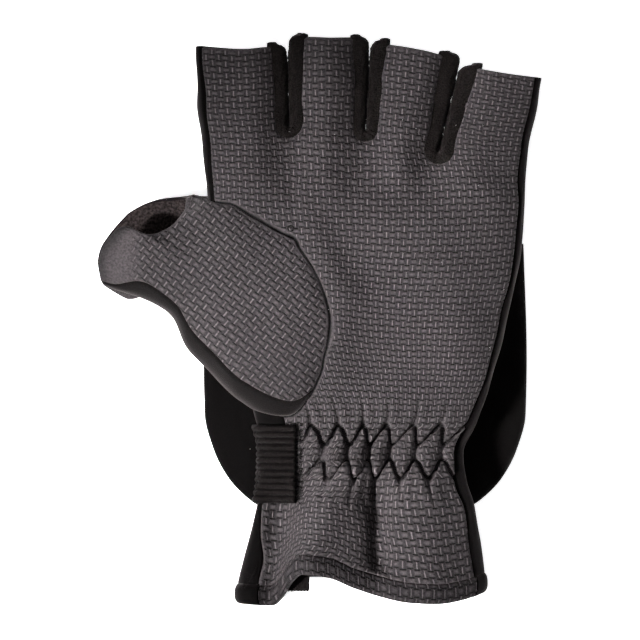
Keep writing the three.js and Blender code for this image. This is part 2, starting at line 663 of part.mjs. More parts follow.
function backPanel() {
  const skin = (inset) => (col, row) => {
    const turn = backTurn(col / BACK_COLUMNS, HAND_ROWS[row] * GLOVE_LENGTH);
    return handPoint(turn, rowPlace(HAND_ROWS[row], turn, backHemLine), inset);
  };
  const sheet = clothSheet(BACK_COLUMNS, HAND_ROWS.length - 1, skin(0), skin(CLOTH));
  return cutHandSheet(sheet);
}

// The strip that joins two fingers' palm and back cloth round the space between them.
function fourchette(gap) {
  const tipPlace = (x) => fingertipLine(x / PALM_WIDTH) * GLOVE_LENGTH;
  const edge = gapEdge(gap, 0, tipPlace);
  const crotchRoom = gap.crotchHalf * PALM_WIDTH - FOURCHETTE_CLOTH - 2 * GAP;
  const bulge = Math.min(FOURCHETTE_BULGE, crotchRoom);
  const profile = [];
  for (let i = 0; i <= FOURCHETTE_LEVELS; i++) {
    profile.push({ level: i / FOURCHETTE_LEVELS, outer: FOURCHETTE_CLOTH });
  }
  for (let i = FOURCHETTE_LEVELS; i >= 0; i--) profile.push({ level: i / FOURCHETTE_LEVELS, outer: 0 });
  const lines = profile.map(({ level, outer }) =>
    gapEdge(gap, GAP + bulge * Math.sin(Math.PI * level) + outer, tipPlace));
  return filledTube(profile.length, edge.length - 1, (side, ring) => {
    const seat = edge[ring];
    const back = handHeight(seat.x, seat.y, -1);
    const front = handHeight(seat.x, seat.y, 1);
    const place = lines[side][ring];
    return new THREE.Vector3(place.x, place.y, lerp(back, front, profile[side].level));
  });
}

function thumbPanel(side) {
  const skin = (inset) => (col, row) => {
    const along = row / THUMB_ROWS;
    const seams = thumbSeams(along);
    const lap = 2 * Math.PI;
    const gap = GAP / (HAND_DEPTH / 2);
    const share = col / THUMB_COLUMNS;
    const [from, to] = side === "front" ? [seams.low, seams.top] : [seams.top + gap, seams.low + lap - gap];
    const turn = lerp(from, to, share);
    return thumbPoint(turn, along, inset);
  };
  const sheet = solidOf(clothSheet(THUMB_COLUMNS, THUMB_ROWS, skin(0), skin(CLOTH)));
  return largestBody(sheet.subtract(handBlock(-2 * GAP)));
}

// A point of a folded cap in its own frame: its mouth at 0 and its rounded end at -length.
function capPoint(turn, along, size, inset) {
  const half = (size.width / 2) * capOutline.half(along) - inset;
  const across = half * signedPower(Math.cos(turn), 2 / CAP_SQUARE);
  const up = Math.sign(Math.sin(turn))
    * Math.min(1, CAP_FLATNESS * Math.abs(Math.sin(turn)) ** (2 / CAP_SQUARE));
  const rise = (size.depth / 2 - inset) * capOutline.depth(along) * up;
  return new THREE.Vector3(across, -(size.length - inset) * along, size.depth / 2 + rise);
}

function mittenCapLayer(side) {
  const size = { length: MITTEN_CAP_LENGTH, width: MITTEN_CAP_WIDTH, depth: MITTEN_CAP_DEPTH };
  const skin = (inset) => (col, row) => {
    const share = col / CAP_COLUMNS;
    const turn = Math.PI * (side === "upper" ? share : share - 1);
    const point = capPoint(turn, MITTEN_CAP_ROWS[row], size, inset);
    if (side === "upper") point.z = Math.min(point.z + GAP / 2, size.depth - inset);
    else point.z = Math.min(point.z, size.depth / 2 - GAP / 2);
    point.x += MITTEN_CAP_CENTRE * PALM_WIDTH;
    point.y += MITTEN_CAP_MOUTH * GLOVE_LENGTH;
    return point;
  };
  return clothSheet(CAP_COLUMNS, MITTEN_CAP_ROWS.length - 1, skin(0), skin(CLOTH));
}

function thumbCap() {
  const size = { length: THUMB_CAP_LENGTH, width: THUMB_CAP_WIDTH, depth: THUMB_CAP_DEPTH };
  const mouthTurn = Math.atan2(
    (thumb.topAlong(1) - thumb.lowAlong(1)) * GLOVE_LENGTH,
    (thumb.topAcross(1) - thumb.lowAcross(1)) * PALM_WIDTH,
  );
  const skin = (inset) => (side, ring) => {
    const point = capPoint((2 * Math.PI * side) / THUMB_CAP_SIDES, THUMB_CAP_ROWS[ring], size, inset);
    point.applyAxisAngle(new THREE.Vector3(0, 0, 1), mouthTurn + THREE.MathUtils.degToRad(THUMB_CAP_TURN));
    point.x += THUMB_CAP_MOUTH.across * PALM_WIDTH;
    point.y += THUMB_CAP_MOUTH.along * GLOVE_LENGTH;
    return point;
  };
  return clothPocket(THUMB_CAP_SIDES, THUMB_CAP_ROWS.length - 1, skin(0), skin(THUMB_CAP_CLOTH));
}

// The rolled hem along the lower edge of the palm or the back.
function cuffHem(columns, turnAt, hemLine) {
  return filledTube(HEM_SIDES, columns, (side, ring) => {
    const turn = turnAt(lerp(HEM_END, 1 - HEM_END, ring / columns), -0.5 * GLOVE_LENGTH);
    const y = rowPlace(-0.5, turn, hemLine);
    const outer = handPoint(turn, y);
    const inner = handPoint(turn, y, CLOTH);
    const outward = outer.clone().sub(inner).normalize();
    const middle = outer.lerp(inner, 0.5);
    const roll = (2 * Math.PI * side) / HEM_SIDES;
    middle.y -= HEM_GAP + (HEM_WIDTH / 2) * (1 - signedPower(Math.cos(roll), 2 / HEM_SQUARE));
    const rise = (HEM_THICKNESS / 2) * signedPower(Math.sin(roll), 2 / HEM_SQUARE);
    return middle.addScaledVector(outward, rise);
  });
}

// The ribbed strap that wraps round the thumb's side of the wrist.
function wristStrap() {
  const rows = 2 * STRAP_RIBS;
  const skin = (lift, ribbed) => (col, row) => {
    const y = STRAP_TOP * GLOVE_LENGTH - STRAP_WIDTH * (1 - row / rows);
    const section = handSection(y);
    const across = (STRAP_END * PALM_WIDTH - section.centre) / section.halfWidth;
    const start = Math.acos(signedPower(across, 1 / section.power));
    const turn = turnOfArc(lerp(arcOfTurn(start), arcOfTurn(2 * Math.PI - start), 1 - col / STRAP_COLUMNS));
    const rib = ribbed && row % 2 === 1 ? STRAP_RIB : 0;
    return handPoint(turn, y, -lift - rib);
  };
  const outside = skin(2 * GAP + STRAP_THICKNESS - STRAP_RIB, true);
  return clothSheet(STRAP_COLUMNS, rows, outside, skin(2 * GAP, false));
}

// The webbing tab inside the cuff, with its cut end showing below the hem.
function pullTab() {
  const seats = [-0.75, 0, 0.5].map((share) => TAB_CENTRE * PALM_WIDTH + share * TAB_WIDTH);
  const skin = (drop) => (col, row) => {
    const x = TAB_CENTRE * PALM_WIDTH + TAB_WIDTH * (col / TAB_COLUMNS - 0.5);
    const zigzag = row === 0 && col % 2 === 1 ? TAB_THICKNESS / 2 : 0;
    const y = TAB_END * GLOVE_LENGTH + TAB_LENGTH * (row / TAB_ROWS) + zigzag;
    const cuffPlace = Math.max(y, palmHemLine(TAB_CENTRE) * GLOVE_LENGTH);
    const under = Math.min(...seats.map((seat) => handHeight(seat, cuffPlace, 1, CLOTH)));
    return new THREE.Vector3(x, y, under - (HEM_THICKNESS - CLOTH) / 2 - GAP - drop);
  };
  return clothSheet(TAB_COLUMNS, TAB_ROWS, skin(0), skin(TAB_THICKNESS));
}

const cloth = (color, roughness) => new THREE.MeshStandardMaterial({ color, roughness, metalness: 0 });
const WOVEN = () => cloth(0x5b5456, 0.85);
const SMOOTH = () => cloth(0x1c1918, 0.8);
const PLUSH = () => cloth(0x191614, 0.95);
const WEBBING = () => cloth(0x282323, 0.9);

const glove = new THREE.Group();
function add(name, geometry, material) {
  const mesh = new THREE.Mesh(geometry, material);
  mesh.name = name;
  glove.add(mesh);
}

add("palm_panel", palmPanel(), WOVEN());
add("back_panel", backPanel(), SMOOTH());
for (const gap of FINGER_GAPS) add("fourchette_" + gap.name, fourchette(gap), PLUSH());
add("thumb_front_panel", thumbPanel("front"), WOVEN());
add("thumb_back_panel", thumbPanel("back"), SMOOTH());
add("thumb_cap", thumbCap(), SMOOTH());
add("mitten_cap_upper", mittenCapLayer("upper"), SMOOTH());
add("mitten_cap_lower", mittenCapLayer("lower"), SMOOTH());
add("cuff_hem_palm", cuffHem(PALM_COLUMNS, palmTurn, palmHemLine), WOVEN());
add("cuff_hem_back", cuffHem(BACK_COLUMNS, backTurn, backHemLine), SMOOTH());
add("wrist_strap", wristStrap(), WEBBING());
add("pull_tab", pullTab(), WEBBING());

// The origin is the middle of the outline, on the surface that the glove rests on.
const outline = new THREE.Box3().setFromObject(glove);
glove.position.set(-(outline.min.x + outline.max.x) / 2, -(outline.min.y + outline.max.y) / 2, -outline.min.z);

export default glove;
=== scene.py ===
import math
from collections import namedtuple

import bpy
import numpy as np
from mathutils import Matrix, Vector
from mathutils.bvhtree import BVHTree


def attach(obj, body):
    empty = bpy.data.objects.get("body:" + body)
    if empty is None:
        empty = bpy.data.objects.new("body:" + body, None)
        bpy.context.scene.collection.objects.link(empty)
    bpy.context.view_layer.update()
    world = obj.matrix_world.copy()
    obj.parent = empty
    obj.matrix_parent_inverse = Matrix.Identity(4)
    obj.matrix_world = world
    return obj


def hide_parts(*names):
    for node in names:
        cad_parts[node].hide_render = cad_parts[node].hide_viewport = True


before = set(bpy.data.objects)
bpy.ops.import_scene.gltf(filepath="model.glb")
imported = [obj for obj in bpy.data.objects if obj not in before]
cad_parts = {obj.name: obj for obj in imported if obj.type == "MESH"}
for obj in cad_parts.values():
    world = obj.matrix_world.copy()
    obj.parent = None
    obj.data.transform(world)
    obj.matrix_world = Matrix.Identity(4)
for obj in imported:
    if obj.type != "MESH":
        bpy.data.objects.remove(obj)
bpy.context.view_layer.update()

# Driving sizes of the glove, as its solids have them
GLOVE_LENGTH = 200
PALM_WIDTH = 109
HAND_DEPTH = 30
CLOTH = 2.5
GAP = 0.4
MITTEN_CAP_LENGTH = 100
MITTEN_CAP_WIDTH = 114
MITTEN_CAP_DEPTH = 11
THUMB_CAP_LENGTH = 15
THUMB_CAP_WIDTH = 29
THUMB_CAP_DEPTH = 5.4
THUMB_CAP_CLOTH = 1.6
FINGER_CROWN = 6
FINGER_GROOVE_WIDTH = 28
HEM_GAP = 0.6
HEM_WIDTH = 6.7
HEM_THICKNESS = 4.4
HEM_SQUARE = 2.5
STRAP_WIDTH = 27
STRAP_THICKNESS = 1.6
STRAP_RIB = 0.5
STRAP_RIBS = 12
TAB_WIDTH = 7.7
TAB_LENGTH = 22
TAB_THICKNESS = 1.3
TAB_TEETH = 7
TAB_TOOTH = 1.0
BACK_HEIGHT = MITTEN_CAP_DEPTH + GAP
FRAME_SHIFT = (0.119, 0.05, 0)  # from the shape functions' origin to the middle of the outline

# Places, as shares of the glove's length, or of the palm's width where they say across
FINGER_ROOT = 0.26
FINGERTIP_ROW = 0.48
CUFF_TOP = -0.285
HEM_ROW = -0.45
GROOVE_START = 0.18
STRAP_END = -0.072  # across
STRAP_TOP = -0.182
MITTEN_CAP_MOUTH = 0.135
MITTEN_CAP_CENTRE = 0.1445  # across
THUMB_CAP_MOUTH = (-0.637, 0.124)  # across, along
THUMB_CAP_TURN = 15  # degrees from the thumb's mouth
HEM_END = 0.012
TAB_CENTRE = -0.072  # across
TAB_END = -0.4745
TRIM_FROM = -0.27
TRIM_TO = 0.3

# The gathers: two rows of stitches that wave against each other, with puffs of cloth at both sides
PUCKERS = 7
PUCKER_HEIGHT = 3.6
PUCKER_GROOVE = 1.4
PUCKER_REACH = 0.08  # along
UPPER_STITCH = -0.199  # along
LOWER_STITCH = -0.258  # along
STITCH_WAVE = 0.017  # along
FIRST_PUCKER = 0.005  # across, from the strap's end
FULL_PUCKER = 0.03  # across, from the strap's end
STITCH_GROOVE = 0.42
STITCH_SLOPE = 1.5
STITCH_SINK = 1.2

# Cross sections of the hand, from the hem to the fingertips
HAND_NAMES = ("along", "left", "right", "seam_left", "seam_right", "lift", "depth", "square")
HAND = (
    (-0.5, -0.277, 0.541, 0.073, 0.036, 0.08, 1.02, 2.6),
    (-0.46, -0.268, 0.535, 0.073, 0.036, 0.12, 1.0, 2.6),
    (-0.385, -0.232, 0.514, 0.032, 0.033, 0.5, 0.9, 2.6),
    (-0.325, -0.205, 0.496, 0.014, 0.033, 0.98, 0.74, 2.5),
    (-0.28, -0.188, 0.468, 0.03, 0.03, 1.2, 0.66, 2.4),
    (-0.23, -0.185, 0.459, 0.07, 0.028, 1.22, 0.66, 2.4),
    (-0.175, -0.205, 0.503, 0.087, 0.025, 1.18, 0.78, 2.5),
    (-0.1, -0.252, 0.552, 0.055, 0.022, 1.08, 0.92, 2.6),
    (0, -0.316, 0.598, 0.02, 0.02, 1, 1, 2.6),
    (0.1, -0.348, 0.637, 0.018, 0.018, 1, 1, 2.6),
    (0.15, -0.353, 0.649, 0.018, 0.018, 1, 0.98, 2.7),
    (0.2, -0.361, 0.654, 0.018, 0.018, 0.9, 0.96, 2.8),
    (0.3, -0.378, 0.667, 0.022, 0.022, 0.62, 0.9, 3),
    (0.385, -0.397, 0.703, 0.025, 0.022, 0.36, 0.78, 3.2),
    (0.5, -0.401, 0.731, 0.014, 0.022, 0.2, 0.7, 3.2),
)
# Lines across the hand: each place's shares across and along
FINGERTIP_LINE = (
    (-0.4, 0.482), (-0.26, 0.476), (-0.12, 0.487), (-0.06, 0.498), (0.03, 0.496), (0.12, 0.497),
    (0.2, 0.486), (0.29, 0.478), (0.385, 0.467), (0.49, 0.446), (0.6, 0.434), (0.72, 0.426),
)
PALM_HEM_LINE = (
    (-0.27, -0.459), (-0.16, -0.462), (-0.135, -0.45), (-0.11, -0.42), (-0.08, -0.406), (0.011, -0.411),
    (0.105, -0.43), (0.197, -0.446), (0.287, -0.4555), (0.381, -0.458), (0.46, -0.452), (0.54, -0.439),
)
BACK_HEM_LINE = (
    (-0.27, -0.459), (-0.17, -0.462), (-0.08, -0.415), (0.05, -0.415),
    (0.2, -0.435), (0.38, -0.453), (0.46, -0.452), (0.54, -0.439),
)
ARC_SQUARE = 2.7  # of the section along which the panels share out their width
ARC_STEPS = 720

# The spaces between the fingers, and how far their plush strips stand out past each finger's tip
FingerGap = namedtuple(
    "FingerGap", "name crotch_across crotch_along crotch_half tip_across tip_half strip_tops"
)
FINGER_GAPS = (
    FingerGap("index_middle", -0.101, 0.322, 0.034, -0.107, 0.048, (0.6, 0.8)),
    FingerGap("middle_ring", 0.143, 0.317, 0.032, 0.161, 0.046, (0.6, 1.6)),
    FingerGap("ring_little", 0.371, 0.278, 0.039, 0.471, 0.06, (1.8, 1.8)),
)
STRIP_OPENING = 0.7
STRIP_OPEN_FROM = 0.45
STRIP_CORNER = 0.1
STRIP_CORNER_ROOM = 0.35

# Folds and dents, each along a line: from across and along, to across and along, width, rise
FOLDS = (
    (0.046, -0.27, -0.06, -0.43, 0.075, 0.24),
    (0.1, -0.29, 0.08, -0.42, 0.07, 0.09),
    (-0.13, -0.32, -0.155, -0.46, 0.05, -0.19),
    (0.185, -0.3, 0.19, -0.42, 0.04, -0.13),
    (0.28, -0.29, 0.33, -0.45, 0.1, 0.07),
    (-0.04, 0.14, 0.08, 0.05, 0.06, 0.05),
    (0.08, 0.04, 0.05, -0.1, 0.06, 0.05),
    (0.415, 0.265, 0.57, 0.22, 0.07, 0.05),
    (0.45, 0, 0.19, -0.13, 0.08, 0.05),
    (0.2, 0.06, 0.26, -0.02, 0.13, -0.07),
    (0.03, 0.3, 0.03, 0.28, 0.05, -0.04),
    (0.23, 0.24, 0.24, 0.22, 0.06, -0.04),
    # deeper creases that the plain walls leave out
    (0.03, -0.33, -0.01, -0.43, 0.08, 0.08),
    (0.12, -0.235, 0.1, -0.245, 0.06, 0.12),
    (0.183, -0.285, 0.192, -0.43, 0.03, -0.05),
    (0.33, -0.28, 0.35, -0.44, 0.09, 0.07),
    (-0.14, -0.33, -0.15, -0.46, 0.05, -0.1),
    (-0.06, 0.2, 0.03, 0.11, 0.05, 0.03),
    (0.035, 0.1, 0.02, -0.06, 0.04, 0.03),
    (-0.09, 0.24, -0.08, 0.14, 0.025, -0.03),
)

# Cross sections of the thumb, from inside the hand to its mouth
THUMB_NAMES = ("along", "top_across", "top_along", "low_across", "low_along", "low", "high", "seam")
THUMB = (
    (0, 0.06, 0.1, 0.05, -0.115, 2.1, 1.02, 0.14),
    (0.16, -0.055, 0.185, -0.1, -0.178, 2.1, 1.085, 0.1),
    (0.32, -0.155, 0.205, -0.262, -0.14, 2.05, 1.06, 0.1),
    (0.45, -0.222, 0.219, -0.364, -0.084, 2.02, 1.0, 0.1),
    (0.6, -0.284, 0.221, -0.433, -0.045, 1.98, 0.9, 0.11),
    (0.75, -0.339, 0.22, -0.48, 0.007, 1.5, 0.82, 0.1),
    (0.88, -0.382, 0.219, -0.57, 0.041, 1.08, 0.73, 0.12),
    (1, -0.413, 0.223, -0.703, 0.061, 0.89, 0.64, 0.14),
)
THUMB_SQUARE = 2.2
THUMB_TOP_SEAM = 0.015
MOUTH_START = 0.72
MOUTH_NAMES = ("across", "front", "back")
THUMB_MOUTH = (
    (0, 0.004, 0.006), (0.1, -0.026, 0.04), (0.23, -0.028, 0.076), (0.365, -0.015, 0.096),
    (0.47, 0.014, 0.104), (0.54, 0.078, 0.104), (0.64, 0.094, 0.103), (0.77, 0.093, 0.1),
    (0.88, 0.078, 0.086), (1, 0.024, 0.028),
)
THUMB_EDGE_LIFT = 4  # of the top edge, so that the palm's puffs don't cover it
THUMB_EDGE_FROM = (0.4, 0.62)
THUMB_EDGE_TO = (0.86, 0.98)
THUMB_EDGE_WIDTH = 0.25
TIP_WRAP = 0.9  # how far the thumb's front wraps round its tip, of the seam's place
TIP_WRAP_FROM = (0.84, 0.97)

# Outline and depth of the folded caps, from the mouth to the end
CAP_NAMES = ("along", "half", "depth")
CAP_OUTLINE = (
    (0, 0.98, 1), (0.4, 1, 1), (0.6, 0.993, 1), (0.72, 0.94, 0.97),
    (0.82, 0.85, 0.88), (0.9, 0.715, 0.72), (0.96, 0.53, 0.48), (1, 0.34, 0),
)
CAP_SQUARE = 3.6
CAP_FLATNESS = 1.06

# The weave: its square cells on the thumb, and its columns and rows on the palm and the hem
WEAVE_CELL = 2.31
THUMB_WEAVE_TURN = -38
PALM_WEAVE_COLUMNS = 52
CUFF_WEAVE_COLUMNS = 38
CUFF_WEAVE_CHANGE = (-0.27, -0.12)
CUFF_WEAVE_ROWS = 13
PALM_WEAVE_ROWS = 49
FINGER_WEAVE_ROWS = 21
HEM_COLUMNS = 40
HEM_ROWS = 8

# Shades of woven cloth, from 0, the dark of a seam, to 1, the full weave; the valleys get painted shade
PLAIN_SHADE = 0.6  # where the threads no longer show
RIM_SHADE = 0.5
STITCH_DARK = 0.95
# painted shade in the valleys between the puffs
VALLEY_PAINTED_SHADE = 0.35
SEAM_SHADE_WIDTH = 0.5
EDGE_SHADE_WIDTH = 1.2
STRETCHED_FROM = (0.53, 0.64)  # across: towards the thumb's tip the weave is pulled flat
STRETCH = 0.8
TIP_RIM = 4.5
TIP_RIM_SHADE = 0.6

# Columns and rows of each piece's grid of points
PALM_GRID = (216, 360)
BACK_GRID = (180, 210)
STRIP_SIDE_STEPS = 60
STRIP_ARC_STEPS = 24
STRIP_LEVELS = 28
THUMB_GRID = (140, 160)
MITTEN_CAP_GRID = (120, 100)
THUMB_CAP_GRID = (96, 40)
HEM_GRID = (300, 48)
STRAP_GRID = (60, 8 * STRAP_RIBS)
TAB_GRID = (48, 60)
RIM_RINGS = 4
WAVE_COUNT = 9

# Loose ends: places are shares of the palm's width and of the glove's length
LOOP_PLACE = (-0.095, 0.161)
LOOP_RADIUS = 1.0
LOOP_ABOVE = 1.9
KNOT_ACROSS = (-0.27, -0.2)
KNOT_ALONG = (-0.46, -0.445)
KNOT_THREADS = 7
STRAP_FUZZ = 110
THREAD_RADIUS = 0.09
LINT_ACROSS = (-0.35, 0.6)
LINT_ALONG = (-0.4, 0.4)
LINT_ABOVE = 0.7
LINT_SPECKS = 26
LINT_RADIUS = 0.07


def smooth_column(rows, column=1):
    """A column of a table as a smooth function of its first column, with no overshoot."""
    x = np.array([row[0] for row in rows], float)
    y = np.array([row[column] for row in rows], float)
    to_next = np.diff(y) / np.diff(x)
    before = np.concatenate([to_next[:1], to_next])
    after = np.concatenate([to_next, to_next[-1:]])
    turns = before * after <= 0
    slopes = np.where(turns, 0, 2 * before * after / np.where(turns, 1, before + after))

    def at(place_along):
        p = np.clip(place_along, x[0], x[-1])
        i = np.clip(np.searchsorted(x, p) - 1, 0, len(x) - 2)
        span = x[i + 1] - x[i]
        t = (p - x[i]) / span
        return (
            (2 * t**3 - 3 * t**2 + 1) * y[i] + (t**3 - 2 * t**2 + t) * span * slopes[i]
            + (3 * t**2 - 2 * t**3) * y[i + 1] + (t**3 - t**2) * span * slopes[i + 1]
        )

    return at


def smooth_columns(rows, names):
    return {name: smooth_column(rows, column) for column, name in enumerate(names) if column}


hand = smooth_columns(HAND, HAND_NAMES)
thumb = smooth_columns(THUMB, THUMB_NAMES)
thumb_mouth = smooth_columns(THUMB_MOUTH, MOUTH_NAMES)
cap_outline = smooth_columns(CAP_OUTLINE, CAP_NAMES)
fingertip_line = smooth_column(FINGERTIP_LINE)
palm_hem_line = smooth_column(PALM_HEM_LINE)
back_hem_line = smooth_column(BACK_HEM_LINE)


def signed_power(value, power):
    return np.sign(value) * np.abs(value) ** power


def smooth_step(value, start, end):
    t = np.clip((value - start) / (end - start), 0, 1)
    return t * t * (3 - 2 * t)


def bell(value, width):
    """1 where value is 0, falling to nothing about two widths away."""
    return np.exp(-((value / width) ** 2))


def lerp(a, b, t):
    return a + (b - a) * t


def stack(x, y, z):
    return np.stack(np.broadcast_arrays(x, y, z), axis=-1).astype(float)


# Shapes of the hand, the thumb and the caps
def fold_height(x, y):
    total = 0
    for from_across, from_along, to_across, to_along, width, rise in FOLDS:
        x1, y1 = from_across * PALM_WIDTH, from_along * GLOVE_LENGTH
        dx, dy = to_across * PALM_WIDTH - x1, to_along * GLOVE_LENGTH - y1
        t = np.clip(((x - x1) * dx + (y - y1) * dy) / (dx * dx + dy * dy), 0, 1)
        distance = np.hypot(x - x1 - t * dx, y - y1 - t * dy)
        total = total + rise * HAND_DEPTH * bell(distance, width * PALM_WIDTH)
    return total


def gap_share(gap, y):
    return (y / GLOVE_LENGTH - gap.crotch_along) / (0.5 - gap.crotch_along)


def gap_centre(gap, y):
    return PALM_WIDTH * lerp(gap.crotch_across, gap.tip_across, gap_share(gap, y))


def gap_half(gap, y):
    return PALM_WIDTH * lerp(gap.crotch_half, gap.tip_half, gap_share(gap, y))


def gap_crotch(gap):
    """The middle, along the length, of the round end of a space between fingers."""
    return gap.crotch_along * GLOVE_LENGTH + gap.crotch_half * PALM_WIDTH


def gap_distance(gap, x, y):
    """How far a place of the plan lies outside a space between fingers."""
    crotch = gap_crotch(gap)
    beside = np.abs(x - gap_centre(gap, y)) - gap_half(gap, y)
    below = np.hypot(x - gap_centre(gap, crotch), y - crotch) - gap_half(gap, crotch)
    return np.where(y > crotch, beside, below)


def finger_groove(x, y):
    depth = 0
    for gap in FINGER_GAPS:
        u = np.clip(2 * (x - gap_centre(gap, y)) / FINGER_GROOVE_WIDTH, -1, 1)
        share = smooth_step(y / GLOVE_LENGTH, GROOVE_START, gap.crotch_along)
        depth = depth + FINGER_CROWN * share * (np.cos(np.pi * u) + 1) / 2
    return depth


def hand_section(y):
    along = y / GLOVE_LENGTH
    left, right = hand["left"](along) * PALM_WIDTH, hand["right"](along) * PALM_WIDTH
    depth = hand["depth"](along) * HAND_DEPTH
    middle = hand["lift"](along) * BACK_HEIGHT + depth / 2
    return (left + right) / 2, (right - left) / 2, middle, depth / 2, 2 / hand["square"](along)


def hand_point(turn, y, inset=0.0):
    """Points of the hand's surface; turn is 0 on the little finger's side and a quarter on the palm."""
    centre, half_width, middle, half_depth, power = hand_section(y)
    across = signed_power(np.cos(turn), power)
    up = signed_power(np.sin(turn), power)
    plain_x = centre + half_width * across
    shape = np.where(up > 0, fold_height(plain_x, y), 0) - finger_groove(plain_x, y)
    return stack(centre + (half_width - inset) * across, y, middle + (half_depth - inset) * up + shape * up)


def hand_height(x, y, side, inset=0.0):
    """The height of the palm, side 1, or of the back of the hand, side -1."""
    centre, half_width, _, _, power = hand_section(y)
    across = np.clip((x - centre) / half_width, -1, 1)
    return hand_point(side * np.arccos(signed_power(across, 1 / power)), y, inset)[..., 2]


# Lengths round the hand's section, measured once, from a turn before its start to a turn after
arc_turns = np.linspace(-2 * np.pi, 4 * np.pi, 3 * ARC_STEPS + 1)
arc_path = np.stack([
    signed_power(np.cos(arc_turns), 2 / ARC_SQUARE),
    HAND_DEPTH / PALM_WIDTH * signed_power(np.sin(arc_turns), 2 / ARC_SQUARE),
], axis=1)
arc_lengths = np.concatenate([[0], np.cumsum(np.linalg.norm(np.diff(arc_path, axis=0), axis=1))])
arc_lengths -= arc_lengths[ARC_STEPS]
arc_once_round = arc_lengths[2 * ARC_STEPS]


def arc_of_turn(turn):
    return np.interp(turn, arc_turns, arc_lengths)


def turn_of_arc(arc):
    return np.interp(arc, arc_lengths, arc_turns)


def seam_turns(y):
    _, half_width, _, _, power = hand_section(y)
    along = y / GLOVE_LENGTH
    left, right = (
        np.arccos((1 - hand[name](along) * PALM_WIDTH / half_width) ** (1 / power))
        for name in ("seam_left", "seam_right")
    )
    return np.pi - left, right


def palm_turn(share, y):
    left, right = seam_turns(y)
    return turn_of_arc(lerp(arc_of_turn(left), arc_of_turn(right), share))


def back_turn(share, y):
    left, right = seam_turns(y)
    return turn_of_arc(lerp(arc_of_turn(right), arc_of_turn(left - 2 * np.pi), share))


def row_place(along, turn, hem_line):
    """Rows run straight across the hand, then bend to follow the fingertips and the hem."""
    tip = fingertip_line(hand_point(turn, FINGERTIP_ROW * GLOVE_LENGTH)[..., 0] / PALM_WIDTH)
    hem = hem_line(hand_point(turn, HEM_ROW * GLOVE_LENGTH)[..., 0] / PALM_WIDTH)
    to_tip = lerp(FINGER_ROOT, tip, (along - FINGER_ROOT) / (0.5 - FINGER_ROOT))
    to_hem = lerp(CUFF_TOP, hem, (CUFF_TOP - along) / (CUFF_TOP + 0.5))
    return GLOVE_LENGTH * np.where(along > FINGER_ROOT, to_tip, np.where(along < CUFF_TOP, to_hem, along))


def stitch_rows(share):
    wave = STITCH_WAVE * np.cos(2 * np.pi * share * PUCKERS)
    return (UPPER_STITCH + wave) * GLOVE_LENGTH, (LOWER_STITCH - wave) * GLOVE_LENGTH


def pucker_relief(x, y, share):
    """Bulges above, between and below the two waving rows of stitches, how deep a place lies between
    them and how near it lies to a stitch, both 0 to 1; the depth sets the painted shade in the valleys."""
    upper, lower = stitch_rows(share)
    from_lens = 2 * np.abs((share * PUCKERS + 0.5) % 1 - 0.5)
    lens = 1 - from_lens**2
    between = 1 - (1 - from_lens) ** 2
    inside = (y > lower) & (y < upper)
    groove = (1 - bell(y - upper, PUCKER_GROOVE)) * (1 - bell(y - lower, PUCKER_GROOVE))
    outside = np.where(y > upper, y - upper, lower - y)
    fade = 1 - smooth_step(outside, 0, PUCKER_REACH * GLOVE_LENGTH)
    bulge = np.where(inside, lens, between * fade) * groove
    from_strap = x - STRAP_END * PALM_WIDTH
    clear = smooth_step(from_strap, FIRST_PUCKER * PALM_WIDTH, FULL_PUCKER * PALM_WIDTH)
    valley = clear * np.where(inside, 1, fade**2) * (1 - np.where(inside, lens, between) * groove)
    from_stitch = np.minimum(np.abs(y - upper), np.abs(y - lower)) / STITCH_SLOPE
    stitch = clear * bell(from_stitch, STITCH_GROOVE)
    return PUCKER_HEIGHT * bulge * clear, valley, stitch


def thumb_point(turn, along, inset=0.0):
    """Points of the thumb's surface, from inside the hand, along 0, to its mouth, along 1."""
    top = [thumb["top_across"](along) * PALM_WIDTH, thumb["top_along"](along) * GLOVE_LENGTH]
    low = [thumb["low_across"](along) * PALM_WIDTH, thumb["low_along"](along) * GLOVE_LENGTH]
    dx, dy = low[0] - top[0], low[1] - top[1]
    width = np.hypot(dx, dy)
    dx, dy = dx / width, dy / width
    floor_height = thumb["low"](along) * (THUMB_CAP_DEPTH + GAP)
    ceiling = thumb["high"](along) * (BACK_HEIGHT + HAND_DEPTH)
    c = signed_power(np.cos(turn), 2 / THUMB_SQUARE)
    s = signed_power(np.sin(turn), 2 / THUMB_SQUARE)
    share = (1 + c) / 2
    mouth = np.where(s > 0, thumb_mouth["front"](share), thumb_mouth["back"](share))
    past = mouth * PALM_WIDTH * np.sqrt(np.abs(s)) * smooth_step(along, MOUTH_START, 1)
    over = smooth_step(along, *THUMB_EDGE_FROM) * (1 - smooth_step(along, *THUMB_EDGE_TO))
    lift = THUMB_EDGE_LIFT * over * bell(share, THUMB_EDGE_WIDTH) * np.maximum(s, 0) ** 0.3
    return stack(
        (top[0] + low[0]) / 2 + dx * (width / 2 - inset) * c + dy * past,
        (top[1] + low[1]) / 2 + dy * (width / 2 - inset) * c - dx * past,
        (floor_height + ceiling) / 2 + ((ceiling - floor_height) / 2 - inset) * s + lift,
    )


def thumb_seams(along):
    seam = thumb["seam"](along) * (1 - TIP_WRAP * smooth_step(along, *TIP_WRAP_FROM))
    low = np.arccos((1 - 2 * seam) ** (THUMB_SQUARE / 2))
    top = np.pi - math.acos((1 - 2 * THUMB_TOP_SEAM) ** (THUMB_SQUARE / 2))
    return low, top


def cap_point(turn, along, length, width, depth, inset=0.0):
    half = width / 2 * cap_outline["half"](along) - inset
    across = half * signed_power(np.cos(turn), 2 / CAP_SQUARE)
    up = np.sign(np.sin(turn)) * np.minimum(1, CAP_FLATNESS * np.abs(np.sin(turn)) ** (2 / CAP_SQUARE))
    height = depth / 2 + (depth / 2 - inset) * cap_outline["depth"](along) * up
    return stack(across, -(length - inset) * along, height)


